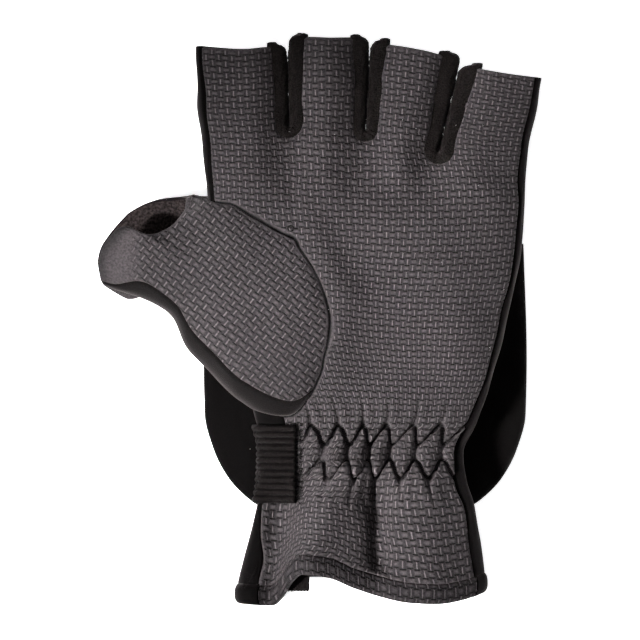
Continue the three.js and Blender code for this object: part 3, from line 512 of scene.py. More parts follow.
# Tools for making meshes
def share_grid(columns, rows, low=0.0, high=1.0):
    """Shares across, 0 to 1, and along, low to high, of a grid with that many cells."""
    return np.meshgrid(np.linspace(0, 1, columns + 1), np.linspace(low, high, rows + 1))


def lengths_along(points, axis):
    return np.linalg.norm(np.diff(points, axis=axis), axis=-1).sum(axis=axis, keepdims=True)


def waves(points, scale, seed):
    """A smooth random height of about -1 to 1 at each point; scale is its typical length in mm."""
    draws = np.random.default_rng(seed)
    total = 0
    for _ in range(WAVE_COUNT):
        direction = draws.normal(size=3)
        direction *= 2 * np.pi / (scale * draws.uniform(0.7, 1.6) * np.linalg.norm(direction))
        total = total + np.sin(points @ direction + draws.uniform(0, 2 * np.pi))
    return total / math.sqrt(WAVE_COUNT) / 1.3


def unit(vectors):
    return vectors / np.maximum(np.linalg.norm(vectors, axis=-1, keepdims=True), 1e-9)


def grid_normals(points):
    """Outward normals of a grid of points, whose columns run to the right as seen from outside."""
    along_rows, along_columns = np.gradient(points, axis=(0, 1))
    return unit(np.cross(along_columns, along_rows))


def raised(points, height):
    """A grid of points moved outwards by a height at each."""
    return points + grid_normals(points) * height[..., None]


def seam_sink(distance, reach=1.6, depth=1.1):
    """How far cloth rounds down towards a seam or an edge."""
    t = 1 - np.clip(distance, 0, reach) / reach
    return depth * (1 - np.sqrt(np.maximum(1 - t * t, 0)))


def grid_faces(rows, columns):
    """The two triangles of each cell of a grid with that many points."""
    first = (np.arange(rows - 1)[:, None] * columns + np.arange(columns - 1)[None, :]).ravel()
    return np.concatenate([
        np.stack([first, first + 1, first + columns + 1], axis=1),
        np.stack([first, first + columns + 1, first + columns], axis=1),
    ])


def clip(data, faces, field):
    """The part of a triangle mesh where field is positive; data has a row of values for each point."""
    kept = field > 0
    count = kept[faces].sum(axis=1)
    rows, triangles, made = [], [faces[count == 3]], {}

    def cut(a, b):
        key = (min(a, b), max(a, b))
        if key not in made:
            made[key] = len(data) + len(rows)
            t = field[key[0]] / (field[key[0]] - field[key[1]])
            rows.append(data[key[0]] * (1 - t) + data[key[1]] * t)
        return made[key]

    for face in faces[(count > 0) & (count < 3)]:
        one_kept = kept[face].sum() == 1
        odd = next(i for i in range(3) if kept[face[i]] == one_kept)
        a, b, c = (int(face[(odd + i) % 3]) for i in range(3))
        if one_kept:
            triangles.append([[a, cut(a, b), cut(a, c)]])
        else:
            triangles.append([[cut(a, b), b, c], [cut(a, b), c, cut(a, c)]])
    faces = np.concatenate([np.asarray(part, int).reshape(-1, 3) for part in triangles])
    data = np.concatenate([data, np.array(rows)]) if rows else data
    used = np.unique(faces)
    order = np.full(len(data), -1)
    order[used] = np.arange(len(used))
    return data[used], order[faces]


def boundary(faces):
    """The directed edges that only one triangle has."""
    edges = np.concatenate([faces[:, [0, 1]], faces[:, [1, 2]], faces[:, [2, 0]]])
    key = np.sort(edges, axis=1)
    _, where, count = np.unique(key, axis=0, return_index=True, return_counts=True)
    return edges[where[count == 1]]


def plain(shade):
    """The look of cloth without weave: 1 is its full colour, 0 the dark of a seam; on the strap it is the
    ribs' height, which paints shade between them.
    """
    return stack(0, 0, np.asarray(shade, float))


def rim_rings(out, into, edges, lip, start, rim):
    """Rings of points and faces that close a wall's rim in a half round, from its outer skin's edge.
    out and into are the rim's points on both skins, and start is the number of the first new point."""
    order = np.full(start, -1)
    order[rim] = np.arange(len(rim))
    a, b = order[edges[:, 0]], order[edges[:, 1]]
    through = into - out
    along = np.zeros_like(out)
    for ends in (a, b):
        np.add.at(along, ends, out[b] - out[a])
    away = unit(np.cross(through, along))
    points, faces, previous = [], [], rim
    for ring in range(1, RIM_RINGS + 1):
        t = ring / RIM_RINGS
        points.append(out + through * (1 - math.cos(math.pi * t)) / 2 + away * lip * math.sin(math.pi * t))
        current = start + np.arange(len(rim))
        faces.append(np.stack([previous[b], previous[a], current[a]], axis=1))
        faces.append(np.stack([previous[b], current[a], current[b]], axis=1))
        start, previous = start + len(rim), current
    return np.concatenate(points), np.concatenate(faces)


def cloth_mesh(outer, inner, look=None, field=None, steps=(1, 1), lip=0.5):
    """A wall of cloth between two grids of points, cut where field is negative, with rounded rims.
    Its inner skin has every steps-th row and column. Faces are marked 0 outside and 1 inside.
    look is the weave's column, its row and the shade."""
    look = plain(np.ones(outer.shape[:2])) if look is None else look
    field = np.ones(outer.shape[:2]) if field is None else field
    values = np.concatenate([outer, inner, look], axis=-1)

    def skin(row_step, column_step):
        part = values[::row_step, ::column_step]
        part_field = field[::row_step, ::column_step]
        return clip(part.reshape(-1, values.shape[-1]), grid_faces(*part.shape[:2]), part_field.ravel())

    outside, outside_faces = skin(1, 1)
    inside, inside_faces = skin(*steps)
    edges = boundary(outside_faces)
    rim = np.unique(edges)
    rim_points, rim_faces = rim_rings(outside[rim, :3], outside[rim, 3:6], edges, lip, len(outside), rim)
    inside_start = len(outside) + len(rim_points)
    points = np.concatenate([outside[:, :3], rim_points, inside[:, 3:6]])
    faces = np.concatenate([outside_faces, rim_faces, inside_faces[:, ::-1] + inside_start])
    marks = np.zeros(len(faces), int)
    marks[len(outside_faces) + len(rim_faces):] = 1
    rim_look = np.tile(outside[rim, 6:], (RIM_RINGS, 1))
    rim_look[:, 2] = np.minimum(rim_look[:, 2], RIM_SHADE)
    looks = np.concatenate([outside[:, 6:], rim_look, plain(np.ones(len(inside)))])
    return points, faces, looks, marks


def join(*parts):
    """Several meshes of points, faces, looks and marks as one."""
    points, faces, looks, marks, start = [], [], [], [], 0
    for part in parts:
        points.append(part[0])
        faces.append(part[1] + start)
        looks.append(part[2])
        marks.append(part[3])
        start += len(part[0])
    return np.concatenate(points), np.concatenate(faces), np.concatenate(looks), np.concatenate(marks)


def tube(paths, radius, sides=6):
    """Closed tubes along several lines of points, as one mesh."""
    parts = []
    for path in paths:
        path = np.asarray(path, float)
        ahead = unit(np.gradient(path, axis=0))
        side = unit(np.cross(ahead, [0.3, 0.2, 1.0]))
        up = np.cross(side, ahead)
        turn = np.linspace(0, 2 * np.pi, sides, endpoint=False)
        taper = np.ones(len(path))
        taper[0] = taper[-1] = 0.45
        rings = path[:, None] + radius * taper[:, None, None] * (
            side[:, None] * np.cos(turn)[None, :, None] + up[:, None] * np.sin(turn)[None, :, None]
        )
        points = np.concatenate([rings.reshape(-1, 3), path[:1], path[-1:]])
        faces = tube_faces(len(path) - 1, sides)
        first, last, end = len(points) - 2, len(points) - 1, (len(path) - 1) * sides
        for i in range(sides):
            faces += [(first, (i + 1) % sides, i), (last, end + i, end + (i + 1) % sides)]
        parts.append((points, np.array(faces), plain(np.ones(len(points))), np.zeros(len(faces), int)))
    return join(*parts)


def tube_faces(rings, sides):
    """The triangles round a tube whose rings of points follow each other."""
    faces = []
    for ring in range(rings):
        for side in range(sides):
            a, b = ring * sides + side, ring * sides + (side + 1) % sides
            faces += [(a, b, b + sides), (a, b + sides, a + sides)]
    return faces


def closed_tree(sides, rings, point):
    """A search tree of a closed tube, filled at both ends, to measure distances from. point gives
    a place of it from a share of the turn and a share of the length."""
    points = [tuple(point(side / sides, ring / rings)) for ring in range(rings + 1) for side in range(sides)]
    faces = tube_faces(rings, sides)
    faces += [tuple(range(sides))[::-1], tuple(rings * sides + side for side in range(sides))]
    return BVHTree.FromPolygons(points, faces), np.min(points, axis=0), np.max(points, axis=0)


def signed_distance(points, solid, reach=6.0):
    """The distance of each point outside a closed surface, at most reach away from its box."""
    tree, low, high = solid
    flat = points.reshape(-1, 3)
    near = np.all((flat > low - reach) & (flat < high + reach), axis=1)
    distance = np.full(len(flat), reach)
    for i in np.nonzero(near)[0]:
        spot, normal, _, length = tree.find_nearest(flat[i])
        outside = (Vector(flat[i]) - spot).dot(normal) > 0
        distance[i] = length if outside else -length
    return distance.reshape(points.shape[:-1])


def place(points):
    return (points + np.array(FRAME_SHIFT)) / 1000


def add_object(name, data):
    made = bpy.data.objects.new(name, data)
    bpy.context.scene.collection.objects.link(made)
    return made


def add_piece(name, part, materials, slot, *nodes):
    """A piece of the glove that rides on it, from a mesh in millimetres."""
    points, faces, looks, marks = part
    mesh = bpy.data.meshes.new(name)
    mesh.vertices.add(len(points))
    mesh.vertices.foreach_set("co", place(points).ravel())
    mesh.loops.add(3 * len(faces))
    mesh.loops.foreach_set("vertex_index", faces.ravel())
    mesh.polygons.add(len(faces))
    mesh.polygons.foreach_set("loop_start", np.arange(0, 3 * len(faces), 3))
    mesh.polygons.foreach_set("material_index", marks)
    mesh.polygons.foreach_set("use_smooth", np.ones(len(faces), bool))
    attribute = mesh.attributes.new("weave", "FLOAT_VECTOR", "POINT")
    attribute.data.foreach_set("vector", looks.astype(np.float32).ravel())
    mesh.update(calc_edges=True)
    mesh.validate()
    for material in materials:
        mesh.materials.append(material)
    piece = add_object(name, mesh)
    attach(piece, "root")
    if nodes:
        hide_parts(*nodes)
    return piece


# The solids that trim the panels: the whole hand, the thumb and the thumb's hollow
def thumb_tree(inset):
    return closed_tree(64, 40, lambda turn, along: thumb_point(2 * math.pi * turn, along, inset))


def trim_point(turn, along):
    return hand_point(turn_of_arc(-arc_once_round * turn), GLOVE_LENGTH * lerp(TRIM_FROM, TRIM_TO, along))


thumb_solid = thumb_tree(0.0)
hand_solid = closed_tree(96, 60, trim_point)
thumb_hollow = thumb_tree(CLOTH + GAP)


def panel_field(points):
    """How far each point lies outside the spaces between the fingers and the thumb's hollow."""
    distances = [gap_distance(gap, points[..., 0], points[..., 1]) for gap in FINGER_GAPS]
    return np.minimum.reduce([*distances, signed_distance(points, thumb_hollow)])


def from_sides(points, share):
    """How far each point of a panel lies from its nearer side seam."""
    return np.minimum(share, 1 - share) * lengths_along(points, 1)


# The pieces
def palm_skin(share, along, inset):
    turn = palm_turn(share, along * GLOVE_LENGTH)
    y = row_place(along, turn, palm_hem_line)
    points = hand_point(turn, y, inset)
    if inset == 0:
        points[..., 2] += pucker_relief(points[..., 0], y, share)[0] * np.sin(turn)
    return points


def palm_weave(outer, along):
    """The weave's columns, even along each row of the cloth, and its rows."""
    lengths = np.linalg.norm(np.diff(outer, axis=1), axis=-1)
    run = np.concatenate([np.zeros((len(outer), 1)), np.cumsum(lengths, axis=1)], axis=1)
    count = lerp(CUFF_WEAVE_COLUMNS, PALM_WEAVE_COLUMNS, smooth_step(along, *CUFF_WEAVE_CHANGE))
    column = count * (run / run[:, -1:] - 0.5) + PALM_WEAVE_COLUMNS
    stops = np.cumsum([0, CUFF_WEAVE_ROWS, PALM_WEAVE_ROWS, FINGER_WEAVE_ROWS])
    row = np.interp(along, (-0.5, CUFF_TOP, FINGER_ROOT, 0.5), stops)
    column = column + 0.35 * waves(outer, 60, 51) + 0.07 * waves(outer, 9, 52)
    row = row + 0.8 * waves(outer, 70, 53) + 0.07 * waves(outer, 9, 54)
    return column, row


def palm_part():
    share, along = share_grid(*PALM_GRID, -0.5, 0.5)
    outer = palm_skin(share, along, 0)
    inner = palm_skin(share, along, CLOTH)
    column, row = palm_weave(outer, along)
    field = panel_field(outer)
    thumb_seam = np.abs(signed_distance(outer, thumb_solid))
    tip = GLOVE_LENGTH * fingertip_line(outer[..., 0] / PALM_WIDTH) - outer[..., 1]
    edge = np.minimum.reduce([field, from_sides(outer, share), np.maximum(tip, 0), thumb_seam])
    _, valley, stitch = pucker_relief(outer[..., 0], outer[..., 1], share)
    puffed = 0.45 * waves(outer, 21, 3) + 0.5 * waves(outer, 45, 4) * smooth_step(edge, 0, 15)
    height = puffed - seam_sink(edge) - STITCH_SINK * stitch
    thumb_line = bell(thumb_seam, SEAM_SHADE_WIDTH)
    # The stitches and the thumb's seam are dark lines; the valleys between the puffs get painted shade.
    dark = np.maximum.reduce([STITCH_DARK * stitch, VALLEY_PAINTED_SHADE * valley**2, thumb_line])
    shade = np.minimum(lerp(PLAIN_SHADE, 1, smooth_step(edge, 0, EDGE_SHADE_WIDTH)), 1 - dark)
    return cloth_mesh(raised(outer, height), inner, stack(column, row, shade), field, steps=(4, 4), lip=0.3)


def back_part():
    share, along = share_grid(*BACK_GRID, -0.5, 0.5)
    turn = back_turn(share, along * GLOVE_LENGTH)
    y = row_place(along, turn, back_hem_line)
    outer, inner = hand_point(turn, y), hand_point(turn, y, CLOTH)
    field = panel_field(outer)
    edge = np.minimum(field, from_sides(outer, share))
    height = -seam_sink(edge) + 0.3 * waves(outer, 16, 5) * smooth_step(edge, 0, 5)
    return cloth_mesh(raised(outer, height), inner, field=field, steps=(3, 3), lip=0.3)


def strip_seat_beside(gap, side, share):
    """A place on a finger's side, from its tip to the crotch: across, along, the way into the space
    and the room that the plush strip has there."""
    crotch = gap_crotch(gap)
    tip_across = gap.tip_across + side * gap.tip_half
    tip = GLOVE_LENGTH * fingertip_line(tip_across) + gap.strip_tops[(side + 1) // 2]
    y = lerp(tip, crotch, share)
    half = gap_half(gap, y)
    room = half - STRIP_OPENING * max(0, (y - crotch) / (tip - crotch) - STRIP_OPEN_FROM)
    corner = math.sqrt(1 - (1 - min(1, share / STRIP_CORNER)) ** 2)
    return gap_centre(gap, y) + side * half, y, -side, 0, room * lerp(STRIP_CORNER_ROOM, 1, corner)


def strip_seat_round(gap, turn):
    """The same for a place on the round end between the fingers."""
    crotch = gap_crotch(gap)
    radius = gap_half(gap, crotch)
    x, y = gap_centre(gap, crotch) + radius * math.cos(turn), crotch + radius * math.sin(turn)
    return x, y, -math.cos(turn), -math.sin(turn), radius


def strip_part(gap):
    """The plush strip round a space between fingers, which nearly closes that space."""
    shares = np.linspace(0, 1, STRIP_SIDE_STEPS, endpoint=False)
    turns = np.pi * (1 + np.linspace(0, 1, STRIP_ARC_STEPS + 1))
    levels = np.linspace(0, 1, STRIP_LEVELS + 1)
    seats = [strip_seat_beside(gap, -1, share) for share in shares]
    seats += [strip_seat_round(gap, turn) for turn in turns]
    seats += [strip_seat_beside(gap, 1, share) for share in shares[::-1]]
    x, y, into_x, into_y, room = (np.array(column)[:, None] for column in zip(*seats))
    back, front = hand_height(x, y, -1), hand_height(x, y, 1)
    angle = np.pi * (levels[None, :] - 0.5)
    swell = np.cos(angle) ** 0.6
    level = signed_power(np.sin(angle), 0.45)

    def skin(start, end, height):
        push = start + (room + end - start) * swell
        z = (back + front) / 2 + ((front - back) / 2 + height) * level
        return stack(x + into_x * push, y + into_y * push, z)

    outer, inner = skin(-0.5, 0, -0.2), skin(-2, -2.2, -2)
    pile = 0.2 * waves(outer, 1.1, 11) + 0.3 * waves(outer, 7, 12)
    return cloth_mesh(raised(outer, pile), inner, steps=(2, 2), lip=0.7)


def thumb_weave(points):
    """The weave's columns and rows on the thumb's flat-lying panel, which is cut askew."""
    turn = math.radians(THUMB_WEAVE_TURN)
    x, y = points[..., 0], points[..., 1]
    column = (x * math.cos(turn) + y * math.sin(turn)) / WEAVE_CELL + 100
    row = (y * math.cos(turn) - x * math.sin(turn)) / WEAVE_CELL + 100
    return column + 0.12 * waves(points, 18, 55), row + 0.12 * waves(points, 18, 56)


def thumb_part(side):
    share, along = share_grid(*THUMB_GRID)
    low, top = thumb_seams(along)
    turn = lerp(low, top, share) if side == "front" else lerp(top, low + 2 * np.pi, share)
    outer, inner = thumb_point(turn, along), thumb_point(turn, along, CLOTH)
    field = signed_distance(outer, hand_solid) + 0.25
    from_hand = np.maximum(field, 0)
    width = lengths_along(outer, 1)
    from_mouth = (1 - along) * lengths_along(outer, 0)
    edge = np.minimum.reduce([from_sides(outer, share), from_mouth, from_hand])
    column, row = thumb_weave(outer)
    outer = raised(outer, -seam_sink(edge) + 0.35 * waves(outer, 15, 21) * smooth_step(edge, 0, 4))
    stretched = smooth_step(-outer[..., 0] / PALM_WIDTH, *STRETCHED_FROM)
    woven = smooth_step(edge, 0, EDGE_SHADE_WIDTH) * (1 - STRETCH * stretched)
    shade = lerp(PLAIN_SHADE, 1, woven) * (1 - TIP_RIM_SHADE * stretched * bell(from_mouth, TIP_RIM))
    shade = np.minimum(shade, 1 - bell(np.minimum(share * width, from_hand), SEAM_SHADE_WIDTH))
    return cloth_mesh(outer, inner, stack(column, row, shade), field, steps=(2, 2), lip=0.3)


def mitten_cap_part(side):
    share, row = share_grid(*MITTEN_CAP_GRID)
    along = 1 - (1 - row) ** 1.6
    turn = math.pi * (share if side == "upper" else share - 1)

    def skin(inset):
        points = cap_point(turn, along, MITTEN_CAP_LENGTH, MITTEN_CAP_WIDTH, MITTEN_CAP_DEPTH, inset)
        if side == "upper":
            points[..., 2] = np.minimum(points[..., 2] + GAP / 2, MITTEN_CAP_DEPTH - inset)
        else:
            points[..., 2] = np.minimum(points[..., 2], MITTEN_CAP_DEPTH / 2 - GAP / 2)
        points[..., 0] += MITTEN_CAP_CENTRE * PALM_WIDTH
        points[..., 1] += MITTEN_CAP_MOUTH * GLOVE_LENGTH
        return points

    outer, inner = skin(0), skin(CLOTH)
    free = outer[..., 2] < MITTEN_CAP_DEPTH - 0.3 if side == "upper" else outer[..., 2] > 0.3
    height = 0.25 * waves(outer, 13, 31) * smooth_step(np.minimum(share, 1 - share), 0, 0.08) * free
    return cloth_mesh(raised(outer, height), inner, steps=(2, 2), lip=0.4)


def thumb_cap_part():
    share, row = share_grid(*THUMB_CAP_GRID)
    turn = 2 * math.pi * share
    mouth_across = (thumb["top_across"](1) - thumb["low_across"](1)) * PALM_WIDTH
    mouth_along = (thumb["top_along"](1) - thumb["low_along"](1)) * GLOVE_LENGTH
    tilt = math.atan2(mouth_along, mouth_across) + math.radians(THUMB_CAP_TURN)

    def skin(inset):
        points = cap_point(turn, row * 0.995, THUMB_CAP_LENGTH, THUMB_CAP_WIDTH, THUMB_CAP_DEPTH, inset)
        x, y = points[..., 0].copy(), points[..., 1].copy()
        points[..., 0] = x * math.cos(tilt) - y * math.sin(tilt) + THUMB_CAP_MOUTH[0] * PALM_WIDTH
        points[..., 1] = x * math.sin(tilt) + y * math.cos(tilt) + THUMB_CAP_MOUTH[1] * GLOVE_LENGTH
        return points[:, ::-1]

    return cloth_mesh(skin(0), skin(THUMB_CAP_CLOTH), steps=(2, 2), lip=0.2)


def hem_part(turn_at, hem_line, woven):
    """The rolled hem of one side, a tube along the cuff's edge."""
    share, round_share = share_grid(*HEM_GRID)
    turn = turn_at(lerp(HEM_END / 4, 1 - HEM_END / 4, share), -0.5 * GLOVE_LENGTH)
    y = row_place(np.full(turn.shape, -0.5), turn, hem_line)
    outer, inner = hand_point(turn, y), hand_point(turn, y, CLOTH)
    outward = unit(outer - inner)
    middle = (outer + inner) / 2
    roll = -2 * np.pi * round_share
    middle[..., 1] -= (HEM_WIDTH + HEM_GAP) / 2 * (1 - signed_power(np.cos(roll), 2 / HEM_SQUARE))
    points = middle + outward * (HEM_THICKNESS / 2 * signed_power(np.sin(roll), 2 / HEM_SQUARE))[..., None]
    points = points + outward * (0.25 * waves(points, 11, 41))[..., None]
    faces = grid_faces(*share.shape)
    full = np.ones(share.shape)
    looks = stack(HEM_COLUMNS * share, HEM_ROWS * round_share, full) if woven else plain(full)
    return points.reshape(-1, 3), faces, looks.reshape(-1, 3), np.zeros(len(faces), int)


def strap_part():
    share, row = share_grid(*STRAP_GRID)
    y = STRAP_TOP * GLOVE_LENGTH - STRAP_WIDTH * (1 - row)
    centre, half_width, _, _, power = hand_section(y)
    start = np.arccos(signed_power((STRAP_END * PALM_WIDTH - centre) / half_width, 1 / power))
    turn = turn_of_arc(lerp(arc_of_turn(start), arc_of_turn(2 * np.pi - start), 1 - share))
    rib = STRAP_RIB * (0.5 - 0.5 * np.cos(2 * np.pi * row * STRAP_RIBS)) ** 0.7
    outer = hand_point(turn, y, -(2 * GAP + STRAP_THICKNESS - STRAP_RIB + rib))
    worn = 0.12 * waves(outer, 1.6, 71) + 0.2 * waves(outer, 6, 72)
    inner = hand_point(turn, y, -2 * GAP)
    # The ribs' height is the shade, so the webbing is painted darker between its ribs: painted shade.
    return cloth_mesh(raised(outer, worn), inner, plain(rib / STRAP_RIB), steps=(4, 2), lip=0.2)


def tab_part():
    """The webbing tab that comes out from under the hem, with its cut edge."""
    share, row = share_grid(*TAB_GRID)
    x = TAB_CENTRE * PALM_WIDTH + TAB_WIDTH * (share - 0.5)
    tooth = np.abs((share * TAB_TEETH) % 1 - 0.5) * 2
    y = TAB_END * GLOVE_LENGTH + TAB_LENGTH * row + TAB_TOOTH * tooth * (row == 0)
    seat = np.maximum(y, palm_hem_line(TAB_CENTRE) * GLOVE_LENGTH)
    edges = [TAB_CENTRE * PALM_WIDTH + k * TAB_WIDTH for k in (-0.75, 0, 0.5)]
    under = np.minimum.reduce([hand_height(np.full(y.shape, edge), seat, 1, CLOTH) for edge in edges])
    top = under - (HEM_THICKNESS - CLOTH) / 2 - GAP
    threads = 0.12 * np.cos(2 * np.pi * share * 10) * np.cos(2 * np.pi * row * 22)
    return cloth_mesh(stack(x, y, top + threads), stack(x, y, top - TAB_THICKNESS), steps=(2, 2), lip=0.15)


# Materials
def new_material(name):
    material = bpy.data.materials.new(name)
    material.use_nodes = True
    return material, material.node_tree, material.node_tree.nodes["Principled BSDF"]


def set_inputs(node, values):
    for name, value in values.items():
        node.inputs[name].default_value = value


def noise(tree, scale, detail=3.0):
    place_node = tree.nodes.new("ShaderNodeTexCoord")
    texture = tree.nodes.new("ShaderNodeTexNoise")
    set_inputs(texture, {"Scale": scale, "Detail": detail})
    tree.links.new(place_node.outputs["Object"], texture.inputs["Vector"])
    return texture.outputs["Fac"]


def ramp(tree, value, low, high, low_place=0.0, high_place=1.0):
    node = tree.nodes.new("ShaderNodeValToRGB")
    node.color_ramp.elements[0].color = (*low, 1)
    node.color_ramp.elements[1].color = (*high, 1)
    node.color_ramp.elements[0].position = low_place
    node.color_ramp.elements[1].position = high_place
    tree.links.new(value, node.inputs["Fac"])
    return node.outputs["Color"]


def multiply(tree, a, b):
    node = tree.nodes.new("ShaderNodeMix")
    node.data_type = "RGBA"
    node.blend_type = "MULTIPLY"
    node.inputs["Factor"].default_value = 1
    tree.links.new(a, node.inputs["A"])
    tree.links.new(b, node.inputs["B"])
    return node.outputs["Result"]


def bump(tree, shader, height, strength, distance):
    node = tree.nodes.new("ShaderNodeBump")
    set_inputs(node, {"Strength": strength, "Distance": distance})
    tree.links.new(height, node.inputs["Height"])
    tree.links.new(node.outputs["Normal"], shader.inputs["Normal"])


def calculate(tree, operation, *values):
    """The result of a math node; each value is a number or another node's output."""
    node = tree.nodes.new("ShaderNodeMath")
    node.operation = operation
    for socket, value in zip(node.inputs, values):
        if isinstance(value, (int, float)):
            socket.default_value = value
        else:
            tree.links.new(value, socket)
    return node.outputs["Value"]


def slide(tree, value, low, high):
    """A smooth step from 0 at low to 1 at high; low may be the larger."""
    node = tree.nodes.new("ShaderNodeMapRange")
    node.interpolation_type = "SMOOTHSTEP"
    set_inputs(node, {
        "From Min": min(low, high), "From Max": max(low, high),
        "To Min": 0 if low < high else 1, "To Max": 1 if low < high else 0,
    })
    tree.links.new(value, node.inputs["Value"])
    return node.outputs["Result"]


# Threads, in shares of a cell: where each form's side and end fade out, and its height
BAR_SIDE, BAR_END, BAR_HEIGHT = (0.18, 0.05), (0.56, 0.36), 0.86
FLOAT_SIDE, FLOAT_END, FLOAT_HEIGHT = (0.42, 0.0), (0.7, 0.1), 0.26
SLIT_SIDE, SLIT_END, SLIT_DEPTH = (0.24, 0.44), (0.52, 0.3), 0.2
LOWEST_THREAD = 0.2
PLAIN_HEIGHT = 0.36  # of the threads' height, where they don't show
GRAIN_SHARE = 0.35  # of the threads' height


def weave_height(tree, column, row):
    """The height, 0 to 1, of threads that cross in square cells and pass over each other in turn:
    thin upright bars, and broad floats across with a slit at each side. The colour follows this
    height, so the slits and hollows get painted shade."""

    def math_node(operation, *values):
        return calculate(tree, operation, *values)

    def form(side, side_fade, end, end_fade):
        sideways, endways = slide(tree, side, *side_fade), slide(tree, end, *end_fade)
        return math_node("MULTIPLY", sideways, endways)

    def from_middle(distance, here, there):
        beyond = math_node("SUBTRACT", 1.0, distance)
        return math_node("ADD", math_node("MULTIPLY", distance, here), math_node("MULTIPLY", beyond, there))

    nearest_column, nearest_row = math_node("ROUND", column), math_node("ROUND", row)
    across = math_node("ABSOLUTE", math_node("SUBTRACT", column, nearest_column))
    up = math_node("ABSOLUTE", math_node("SUBTRACT", row, nearest_row))
    odd = math_node("FLOORED_MODULO", math_node("ADD", nearest_column, nearest_row), 2.0)
    even = math_node("SUBTRACT", 1.0, odd)
    along_bar, along_float = from_middle(up, even, odd), from_middle(across, odd, even)
    bar = form(across, BAR_SIDE, along_bar, BAR_END)
    crown = form(up, FLOAT_SIDE, along_float, FLOAT_END)
    slit = form(up, SLIT_SIDE, along_float, SLIT_END)
    height = math_node("MULTIPLY_ADD", crown, FLOAT_HEIGHT, LOWEST_THREAD)
    height = math_node("MULTIPLY_ADD", slit, -SLIT_DEPTH, height)
    return math_node("MAXIMUM", height, math_node("MULTIPLY", bar, BAR_HEIGHT))


def cloth_material(name, dark, light, grain_scale, grain_depth, gloss, sheen, patches=0.25, kind="plain"):
    """Cloth whose colour runs from dark to light with a fine grain, and with threads if it is woven
    or ribs if it is ribbed; on threads and ribs the colour is darker in the hollows, as painted shade."""
    material, tree, shader = new_material(name)
    grain = noise(tree, grain_scale, 4.0)
    attribute = tree.nodes.new("ShaderNodeAttribute")
    attribute.attribute_name = "weave"
    parts = tree.nodes.new("ShaderNodeSeparateXYZ")
    tree.links.new(attribute.outputs["Vector"], parts.inputs["Vector"])
    if kind == "plain":
        colour = ramp(tree, grain, dark, light, 0.3, 0.7)
        height = grain
    else:
        height = parts.outputs["Z"]
        if kind == "woven":
            threads = weave_height(tree, parts.outputs["X"], parts.outputs["Y"])
            strength = slide(tree, parts.outputs["Z"], PLAIN_SHADE, 1)
            shown = calculate(tree, "SUBTRACT", threads, PLAIN_HEIGHT)
            shown = calculate(tree, "MULTIPLY_ADD", shown, strength, PLAIN_HEIGHT)
            # A shade below PLAIN_SHADE darkens the colour: the dark lines of seams and stitches, the rims,
            # and painted shade in the valleys between the puffs.
            fill = slide(tree, parts.outputs["Z"], 0, PLAIN_SHADE)
            height = calculate(tree, "MULTIPLY", shown, fill)
        # On threads and ribs the colour runs from dark in the hollows to light on top: painted shade.
        colour = ramp(tree, height, dark, light, 0.05, 0.95)
        height = calculate(tree, "MULTIPLY_ADD", grain, GRAIN_SHARE, height)
    speckle = ramp(tree, grain, (0.5,) * 3, (1.0,) * 3, 0.35, 0.65)
    patch = ramp(tree, noise(tree, 22, 2.0), (1 - patches,) * 3, (1.0,) * 3, 0.35, 0.65)
    colour = multiply(tree, multiply(tree, colour, speckle), patch)
    tree.links.new(colour, shader.inputs["Base Color"])
    set_inputs(shader, {
        "Roughness": 0.8, "Specular IOR Level": gloss,
        "Sheen Weight": sheen, "Sheen Roughness": 0.4, "Sheen Tint": (1, 0.86, 0.87, 1),
    })
    bump(tree, shader, height, 0.6 if kind == "plain" else 1.0, grain_depth)
    return material


WOVEN = cloth_material(
    "woven_cloth", (0.002, 0.0016, 0.0017), (0.176, 0.151, 0.159), 1300, 0.001, 0.12, 0.04, 0.2, "woven"
)
# A darker copy of the woven cloth, for the rolled hem: painted shade.
SHADED_HEM_CLOTH = cloth_material(
    "shaded_hem_cloth", (0.002, 0.0016, 0.0017), (0.1, 0.085, 0.09), 1300, 0.001, 0.1, 0.03, 0.2, "woven"
)
SMOOTH = cloth_material(
    "smooth_cloth", (0.0012, 0.001, 0.001), (0.0032, 0.0027, 0.0026), 2400, 0.0001, 0.02, 0.12
)
# A lighter copy of the smooth cloth, for the thumb's back: painted light of the grazing light and the
# floor's bounce.
LIT_BACKING = cloth_material(
    "lit_thumb_backing", (0.0025, 0.002, 0.0019), (0.007, 0.0056, 0.0054), 2400, 0.0002, 0.05, 0.2
)
PLUSH = cloth_material(
    "plush_cloth", (0.0012, 0.001, 0.0009), (0.012, 0.0094, 0.0088), 1900, 0.0004, 0.04, 0.06
)
WEBBING = cloth_material(
    "webbing", (0.0016, 0.0013, 0.0012), (0.011, 0.009, 0.0087), 1400, 0.0006, 0.03, 0.02, 0.4, "ribbed"
)
LINING = cloth_material(
    "fleece_lining", (0.006, 0.0045, 0.0044), (0.036, 0.027, 0.0265), 1200, 0.0006, 0.05, 0.1
)
# A much lighter copy of the smooth cloth, for the folded thumb cap's face: painted light.
LIT_CAP_FACE = cloth_material(
    "lit_thumb_cap_face", (0.022, 0.0185, 0.019), (0.055, 0.047, 0.049), 2000, 0.0001, 0.15, 0.3
)
THREAD = cloth_material(
    "black_thread", (0.002, 0.0018, 0.0018), (0.005, 0.0045, 0.0045), 3000, 0.0001, 0.05, 0.02
)
LINT = cloth_material("pale_lint", (0.35, 0.34, 0.33), (0.6, 0.59, 0.58), 2000, 0.0001, 0.1, 0.1)

